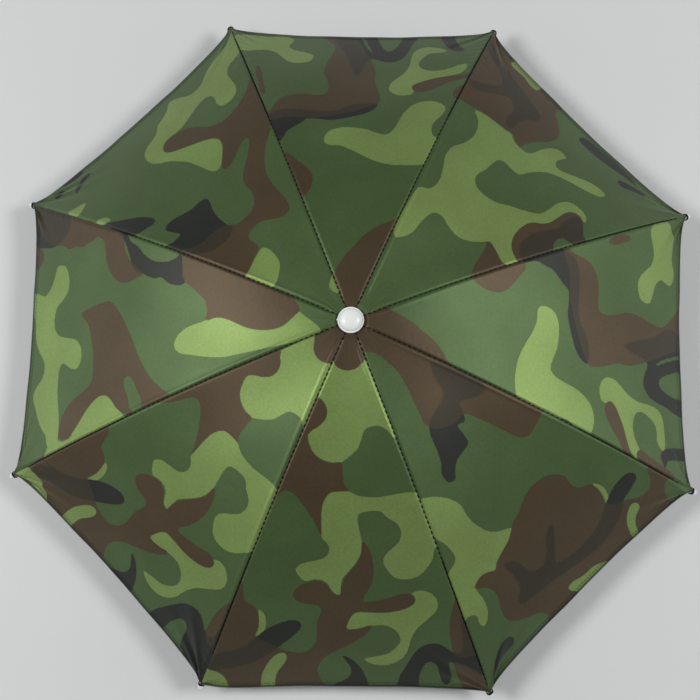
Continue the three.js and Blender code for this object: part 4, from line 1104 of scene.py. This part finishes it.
def seam_allowance(gore):
    """The folded strip inside a seam, on the gore's counterclockwise side."""
    width = half_width(ALLOWANCE_ROWS)
    reach = np.minimum(ALLOWANCE_WIDTH, width * 0.4)
    near = np.array(ALLOWANCE_COLUMNS)
    halves = []
    for number, side, shares in ((gore, 1, near), ((gore + 1) % GORE_COUNT, -1, near[-2::-1])):
        across = side * (1 - shares[None, :] * (reach / width)[:, None])
        s = np.repeat(ALLOWANCE_ROWS[:, None], len(shares), 1)
        halves.append(cloth_points(number, s, across, ALLOWANCE_DROP))
    points = np.concatenate(halves, 1)
    part = (points, grid_faces(*points.shape[:2]))
    obj = make_piece(f"seam_allowance_{gore + 1}", [part], CLOTH_STRIP)
    thicken(obj, ALLOWANCE_THICKNESS)
    return obj


def declare_gore(gore):
    pieces = [seam_stitches(gore), hem_stitches(gore), seam_allowance(gore)]


# The ribs, tips and stretchers

RIB_STEPS = 60
RIB_INSET = 5  # how far a rib reaches into the notch
RIB_END_GAP = 2.2  # from a rib's outer end to the middle of its tip ball
TIP_BORE = 1.45
TIP_MOUTH = -11.0  # of the sleeve, along the rib from the ball's middle
TIP_NECK = SLEEVE_RADIUS - 0.25
THREAD_TURNS = 4
THREAD_STEPS = 97
THREAD_RADIUS = 0.34
THREAD_START = -4.9
THREAD_REACH = 2.2
RUNNER_JOINT = 10.5  # height of the stretchers' inner ends over the runner's underside
STRETCHER_STEPS = 12
CLIP_HALF_LENGTH = 4.5


def make_rib(number):
    r = np.linspace(NOTCH_RADIUS - RIB_INSET, TIP_CIRCLE_RADIUS - RIB_END_GAP, RIB_STEPS)
    line = np.stack([r, np.zeros(r.shape), rib_height(r)], -1)
    name = f"rib_{number + 1}"
    part = tube(turned_about_axis(line, RIB_ANGLES[number]), RIB_RADIUS)
    make_piece(name + "_wire", [part], STEEL, [name], sharp=50)


def make_tip(number):
    """A ball with a sleeve over the rib's end."""
    profile = [[0, -2], [TIP_BORE, -2], [1.5, TIP_MOUTH], [SLEEVE_RADIUS - 0.15, TIP_MOUTH]]
    profile += [[SLEEVE_RADIUS, TIP_MOUTH + 0.2], [SLEEVE_RADIUS, -4.2], [TIP_NECK, -3.7]]
    profile += [[TIP_NECK - 0.2, -2.6]]
    profile += arc(0, 0, TIP_BALL_RADIUS, -50, 90, 14)
    profile[-1][0] = 0
    name = f"rib_tip_{number + 1}"
    ball = along_rib(turned(profile, 32), RIB_ANGLES[number], TIP_CIRCLE_RADIUS)
    make_piece(name + "_ball", [ball], WHITE, [name], sharp=45)


def make_tip_thread(number):
    """The thread that is wound round the sleeve and holds the cloth's corner."""
    turns = np.linspace(0, THREAD_TURNS * 2 * math.pi, THREAD_STEPS)
    spread = SLEEVE_RADIUS + 0.5 + 0.12 * np.sin(turns * 0.37 + number)
    height = THREAD_START + turns / turns[-1] * THREAD_REACH
    wrap = np.stack([spread * np.cos(turns), spread * np.sin(turns), height], -1)
    thread = along_rib(tube(wrap, THREAD_RADIUS, 6), RIB_ANGLES[number], TIP_CIRCLE_RADIUS)
    make_piece(f"tip_thread_{number + 1}", [thread], SEAM_THREAD)


def make_stretcher(number):
    """A wire from the runner to a clip round the rib."""
    angle = RIB_ANGLES[number]
    low = np.array([RUNNER_RADIUS - 5, 0, HEAD_HEIGHT + RUNNER_JOINT])
    high = np.array([STRETCHER_REACH, 0, rib_height(STRETCHER_REACH)])
    line = low + (high - low) * np.linspace(0, 1, STRETCHER_STEPS)[:, None]
    outer = SLEEVE_RADIUS
    bore = RIB_RADIUS + 0.15
    end = CLIP_HALF_LENGTH
    clip = [[bore, -end], [outer - 0.3, -end], [outer, -4.2], [outer, -1.4], [outer - 0.25, -1.1]]
    clip += [[radius, -along] for radius, along in reversed(clip)]
    clip.append(clip[0])
    name = f"stretcher_{number + 1}"
    parts = [tube(turned_about_axis(line, angle), STRETCHER_RADIUS)]
    parts.append(along_rib(turned(clip, 28), angle, STRETCHER_REACH))
    make_piece(name + "_wire", parts, STEEL, [name], sharp=40)


# The hub and the cap

HUB_BORE = 4.3
HUB_EDGE = 0.4
SLOT_WIDTH = 3.2
WHEEL_SIDES = 288
NOTCH_SLOT_RADIUS = 7.0
RUNNER_SLOT_RADIUS = 8.4
NOTCH_TOP = NOTCH_BOTTOM + NOTCH_HEIGHT
NOTCH_LOWER_PLATE = NOTCH_BOTTOM + 2.2  # its upper face
NOTCH_UPPER_PLATE = NOTCH_TOP - 1.6  # its underside
RUNNER_TOP = HEAD_HEIGHT + RUNNER_HEIGHT
DRUM_TOP = HEAD_HEIGHT + 7.8
COLLAR_RADIUS = 6.6


def ring_profile(outer, bottom, top, edge, inner=HUB_BORE):
    corner = edge * 0.3
    return [
        [inner, bottom + edge],
        [inner + edge, bottom],
        [outer - edge, bottom],
        [outer - corner, bottom + corner],
        [outer, bottom + edge],
        [outer, top - edge],
        [outer - corner, top - corner],
        [outer - edge, top],
        [inner + edge, top],
        [inner, top - edge],
        [inner, bottom + edge],
    ]


def slotted_wheel(radius, bottom, top, slot_radius):
    profile = ring_profile(radius, bottom, top, HUB_EDGE)
    return turned(profile, WHEEL_SIDES, RIB_ANGLES, SLOT_WIDTH, slot_radius)


def make_notch():
    parts = [
        slotted_wheel(NOTCH_RADIUS, NOTCH_LOWER_PLATE, NOTCH_UPPER_PLATE, NOTCH_SLOT_RADIUS),
        turned(ring_profile(NOTCH_RADIUS - 0.4, NOTCH_BOTTOM, NOTCH_LOWER_PLATE, HUB_EDGE)),
        turned(ring_profile(NOTCH_RADIUS - 0.4, NOTCH_UPPER_PLATE, NOTCH_TOP, HUB_EDGE)),
    ]
    make_piece("top_notch_wheel", parts, WHITE, ["top_notch"], sharp=35)


def make_runner():
    parts = [
        turned(ring_profile(RUNNER_RADIUS, HEAD_HEIGHT, DRUM_TOP, 0.6)),
        slotted_wheel(RUNNER_RADIUS - 0.3, DRUM_TOP - 0.2, RUNNER_TOP - 2, RUNNER_SLOT_RADIUS),
        turned(ring_profile(RUNNER_RADIUS, RUNNER_TOP - 2.2, RUNNER_TOP, 0.5)),
        turned(ring_profile(COLLAR_RADIUS, RUNNER_TOP - 0.2, RUNNER_TOP + 1.6, HUB_EDGE)),
    ]
    make_piece("runner_drum", parts, WHITE, ["runner"], sharp=35)


def make_shaft():
    pipe = turned(ring_profile(SHAFT_RADIUS, HEAD_HEIGHT, NOTCH_TOP, 0.25, SHAFT_RADIUS - 1), 48)
    make_piece("shaft_pipe", [pipe], STEEL, ["shaft"], sharp=40)


CAP_LEDGE = CAP_BOTTOM + 2.1
CAP_DOME_RADIUS = 9.35
CAP_DOME_RISE = 4.25
CAP_DOME_POWER = 0.92
CAP_STEM_RADIUS = 2.7
CAP_STEM_END = CAP_BOTTOM - 9
NUB_RADIUS = 0.8


def make_cap():
    """A domed button on a flat rim, with a stem below and a small nub at its edge."""
    profile = [[0, CAP_STEM_END], [CAP_STEM_RADIUS - 0.3, CAP_STEM_END]]
    profile += [[CAP_STEM_RADIUS, CAP_STEM_END + 0.3], [CAP_STEM_RADIUS, CAP_BOTTOM + 0.3]]
    profile += [[CAP_RADIUS - 1.2, CAP_BOTTOM + 0.25], [CAP_RADIUS - 0.5, CAP_BOTTOM]]
    profile += arc(CAP_RADIUS - 0.35, CAP_BOTTOM + 0.4, 0.35, -70, 0, 5)
    profile += arc(CAP_RADIUS - 0.75, CAP_LEDGE - 0.75, 0.75, 0, 90, 8)
    for out, down in ((0.25, 0.04), (0.1, 0.22), (-0.05, 0.05)):
        profile.append([CAP_DOME_RADIUS + out, CAP_LEDGE - down])
    for angle in np.linspace(0.02, 1, 26) * math.pi / 2:
        out = CAP_DOME_RADIUS * math.cos(angle) ** CAP_DOME_POWER
        profile.append([out, CAP_LEDGE + CAP_DOME_RISE * math.sin(angle)])
    profile[-1][0] = 0
    points, faces = turned(arc(0, 0, NUB_RADIUS, -90, 90, 9), 16)
    nub = (points + (-CAP_RADIUS, 0, CAP_LEDGE - 0.9), faces)
    make_piece("cap_button", [turned(profile, 128), nub], WHITE, ["cap"], sharp=50)


# The arms and the headband

ARM_LEVEL = HEAD_HEIGHT + 4
ARM_BEND = (20, 60)  # plan radius and height of the middle of an arm's bend
ARM_BEND_STEPS = 28
ARM_GAP = 0.3  # between an arm and the band
RIVET_HEIGHTS = (14.0, 27.0)
RIVET_PROFILE = [[0, 1.0], [0.9, 0.95], [1.7, 0.65], [2.2, 0.2], [2.3, -0.4], [0, -0.4]]


def arm_line(reach):
    out, low = ARM_BEND
    line = [[RUNNER_RADIUS - 5, ARM_LEVEL], [14.0, ARM_LEVEL]]
    for angle in np.linspace(math.pi / 2, 0, ARM_BEND_STEPS):
        line.append([out + (reach - out) * math.cos(angle), low + (ARM_LEVEL - low) * math.sin(angle)])
    line += [[reach, height] for height in (45.0, 30.0, 20.0, 8.0)]
    return np.array(line)


def arm_section():
    """Across and up of an arm's section: rounded edges and a low rib along its outer face."""
    half = ARM_WIDTH / 2
    thick = ARM_THICKNESS / 2
    upper = [(half, 0), (half - 0.15, 0.45), (half - 0.6, thick - 0.1)]
    upper += [(1.9, thick - 0.1), (1.5, thick + 0.35), (1.1, thick + 0.45)]
    upper += [(-across, up) for across, up in reversed(upper)]
    lower = [(-half + 0.15, -0.5), (-half + 0.6, -thick), (half - 0.6, -thick), (half - 0.15, -0.5)]
    return np.array(upper + lower)


def rivet(height, out, angle):
    points, faces = turned(RIVET_PROFILE, 24)
    points = points[..., [2, 1, 0]] * (1, 1, -1) + (out, 0, height)
    return turned_about_axis(points, angle), faces


def make_arm(number):
    angle = ARM_ANGLES[number]
    inside = abs(BAND_HALF_WIDTH * math.cos(angle)) + abs(BAND_HALF_LENGTH * math.sin(angle))
    reach = BAND_THICKNESS + inside + ARM_GAP + ARM_THICKNESS / 2
    line = arm_line(reach)
    line = np.vstack([line[:1] + (0.02, 0), line, line[-1:] + (0, -0.02)])
    size = np.ones(len(line))
    size[[0, -1]] = 0
    size[-2] = 0.94
    tangents = unit(np.gradient(line, axis=0))
    tangents[[0, 1]] = (1, 0)
    tangents[[-1, -2]] = (0, -1)
    normals = np.stack([-tangents[:, 1], tangents[:, 0]], -1)
    across, up = arm_section().T
    x = line[:, :1] + normals[:, :1] * up * size[:, None]
    z = line[:, 1:] + normals[:, 1:] * up * size[:, None]
    y = across[None, :] * size[:, None]
    strip = turned_about_axis(np.stack([x, y, z], -1), angle)
    parts = [(strip, grid_faces(len(line), len(across), wrap=True))]
    parts += [rivet(height, reach + ARM_THICKNESS / 2 + 0.35, angle) for height in RIVET_HEIGHTS]
    name = f"band_arm_{number + 1}"
    make_piece(name + "_strip", parts, BLACK_PLASTIC, [name], sharp=38)


BAND_RIBS = 13
RIB_POINTS = 5  # across each rib of the band
BAND_ROUNDING = 0.45
BAND_STEPS = 200
JOINT_MIDDLE = math.radians(118)
JOINT_HALF = 0.12
JOINT_STEPS = 24
JOINT_SINK = 0.35  # how deep the joint's lap lies in the band's ribs
ZIGZAG_STEP = 1.5
ZIGZAG_SWING = 0.009
ZIGZAG_LIFT = 0.95


def band_ring(angles, section):
    """A section of (out from the band's inside, height) carried round the head's oval."""
    out, height = section
    c = np.cos(angles)[:, None]
    s = np.sin(angles)[:, None]
    normal_x = c * BAND_HALF_LENGTH
    normal_y = s * BAND_HALF_WIDTH
    length = np.hypot(normal_x, normal_y)
    x = BAND_HALF_WIDTH * c + normal_x / length * out
    y = BAND_HALF_LENGTH * s + normal_y / length * out
    return np.stack([x, y, np.broadcast_to(height, x.shape)], -1)


def band_section(thickness, low, high, depth):
    """Ribbed outer and inner faces with rounded edges, as (out, height) pairs round the section."""
    share = np.linspace(0, 1, BAND_RIBS * RIB_POINTS + 1)
    wave = depth * (0.5 - 0.5 * np.cos(2 * math.pi * share * BAND_RIBS))
    rounding = BAND_ROUNDING * (smooth_step(0, 0.035, share) * smooth_step(0, 0.035, 1 - share) - 1)
    height = low + (high - low) * share
    outer = np.stack([thickness - depth + wave + rounding, height], -1)
    inner = np.stack([depth - wave - rounding, height], -1)[::-1]
    return np.concatenate([outer, inner]).T


def make_headband():
    angles = circle(BAND_STEPS)
    out, height = band_section(BAND_THICKNESS, 0.0, BAND_HEIGHT, 0.3)
    gather = 0.16 * np.sin(angles * 34) + 0.1 * np.sin(angles * 53 + 1)
    middle = np.sin(math.pi * height / BAND_HEIGHT)
    loop = band_ring(angles, (out[None, :] + gather[:, None] * middle[None, :], height))
    part = (np.concatenate([loop, loop[:1]]), grid_faces(BAND_STEPS + 1, len(out), wrap=True))
    make_piece("headband_elastic", [part], ELASTIC, ["headband"])


def make_band_joint():
    """The lap where the band's ends are sewn together."""
    angles = np.linspace(JOINT_MIDDLE - JOINT_HALF, JOINT_MIDDLE + JOINT_HALF, JOINT_STEPS)
    out, height = band_section(1.2, 0.5, BAND_HEIGHT - 0.5, 0.25)
    ends = np.ones(JOINT_STEPS)
    ends[[0, -1]] = 0.0
    ends[[1, -2]] = 0.75
    lap = band_ring(angles, (BAND_THICKNESS - JOINT_SINK + out[None, :] * ends[:, None], height))
    part = (lap, grid_faces(JOINT_STEPS, len(out), wrap=True))
    make_piece("band_joint", [part], ELASTIC)


def make_band_stitches():
    parts = []
    for middle in (JOINT_MIDDLE - JOINT_HALF * 0.7, JOINT_MIDDLE + JOINT_HALF * 0.7):
        heights = np.arange(3.0, BAND_HEIGHT - 2, ZIGZAG_STEP)
        swing = np.where(np.arange(len(heights)) % 2 == 0, ZIGZAG_SWING, -ZIGZAG_SWING)
        lift = np.full((len(heights), 1), BAND_THICKNESS + ZIGZAG_LIFT)
        line = band_ring(middle + swing, (lift, heights[:, None]))[:, 0]
        alongs = unit(np.diff(line, axis=0))
        outward = np.array([math.cos(middle), math.sin(middle), 0.0])
        ups = unit(outward - alongs * (alongs @ outward)[:, None])
        parts.append(capsules((line[1:] + line[:-1]) / 2, alongs, ups, 2.1, 0.2))
    make_piece("band_stitches", parts, BAND_THREAD)


for number in range(GORE_COUNT):
    make_rib(number)
    make_tip(number)
    make_tip_thread(number)
    make_stretcher(number)
for number in range(GORE_COUNT):
    declare_gore(number)
make_notch()
make_runner()
make_shaft()
make_cap()
for number in range(len(ARM_ANGLES)):
    make_arm(number)
make_headband()
make_band_joint()
make_band_stitches()


# Camera, floor and light

CAMERA_TILT = (-0.1552, -0.0234, -0.025)  # radians about X, Y and Z, fitted to the photographed corners
CAMERA_SHIFT = (3.5088, 4.7649)
CAMERA_DISTANCE = 1015.0657
CAMERA_LENS = 57.17
CAMERA_SENSOR = 36
CAMERA_FAR = 20
FLOOR_HALF = 4.0
LIGHT_TARGET = Vector((0, 0, 0.1))
SKY_COLOUR = (0.9, 0.93, 0.95, 1)
SKY_LOW = 0.55  # strength at the horizon
SKY_HIGH = 0.1  # strength overhead
SKY_CHANGE = 0.6  # the height of a direction, 1 overhead, from which the sky is at its faintest

# Name, place, size and watts
LIGHTS = [
    ("left", (-1.1, 0.0, 1.4), 0.6, 14),
    ("right", (1.1, 0.1, 1.4), 0.6, 12),
    ("low_left", (-1.7, 0.0, 0.5), 0.7, 2.4),
    ("low_right", (1.7, 0.0, 0.5), 0.7, 2.4),
]


def make_camera():
    data = bpy.data.cameras.new("camera")
    data.lens = CAMERA_LENS
    data.sensor_width = CAMERA_SENSOR
    data.clip_end = CAMERA_FAR
    camera = bpy.data.objects.new("camera", data)
    turn = Matrix.Identity(3)
    for angle, axis in zip(CAMERA_TILT, "XYZ"):
        turn = turn @ Matrix.Rotation(angle, 3, axis)
    back = turn.transposed()
    place = back @ Vector((-CAMERA_SHIFT[0], -CAMERA_SHIFT[1], CAMERA_DISTANCE))
    place += Vector((0, 0, TIP_HEIGHT))
    camera.matrix_world = Matrix.Translation(place * MM) @ back.to_4x4()
    bpy.context.scene.collection.objects.link(camera)
    bpy.context.scene.camera = camera


def make_floor():
    mesh = bpy.data.meshes.new("floor")
    corners = [(x * FLOOR_HALF, y * FLOOR_HALF, 0) for x, y in ((-1, -1), (1, -1), (1, 1), (-1, 1))]
    mesh.from_pydata(corners, [], [(0, 1, 2, 3)])
    shade = Shade("floor", 0.8)
    cloud = shade.noise(shade.here(), 3.0, 4.0)
    shade.colour(shade.mix(cloud, srgb(232, 233, 232), srgb(224, 226, 226)))
    mesh.materials.append(shade.material)
    floor = bpy.data.objects.new("floor", mesh)
    bpy.context.scene.collection.objects.link(floor)


def soft_light(name, place, size, watts):
    data = bpy.data.lights.new(name, "AREA")
    data.shape = "DISK"
    data.size = size
    data.energy = watts
    light = bpy.data.objects.new(name, data)
    light.location = place
    light.rotation_euler = (LIGHT_TARGET - Vector(place)).to_track_quat("-Z", "Y").to_euler()
    bpy.context.scene.collection.objects.link(light)


def set_world():
    """Pale light that is stronger from low round the hat than from above."""
    world = bpy.data.worlds.new("studio")
    world.use_nodes = True
    nodes = world.node_tree.nodes
    links = world.node_tree.links
    sky = nodes["Background"]
    sky.inputs["Color"].default_value = SKY_COLOUR
    direction = nodes.new("ShaderNodeSeparateXYZ")
    links.new(nodes.new("ShaderNodeTexCoord").outputs["Generated"], direction.inputs[0])
    fall = nodes.new("ShaderNodeMapRange")
    fall.interpolation_type = "SMOOTHSTEP"
    for socket, value in zip(fall.inputs, (0.0, 0.0, SKY_CHANGE, SKY_LOW, SKY_HIGH)):
        socket.default_value = value
    links.new(direction.outputs["Z"], fall.inputs[0])
    links.new(fall.outputs[0], sky.inputs["Strength"])
    bpy.context.scene.world = world


make_camera()
make_floor()
set_world()
for light in LIGHTS:
    soft_light(*light)
bpy.context.scene.view_settings.view_transform = "Standard"
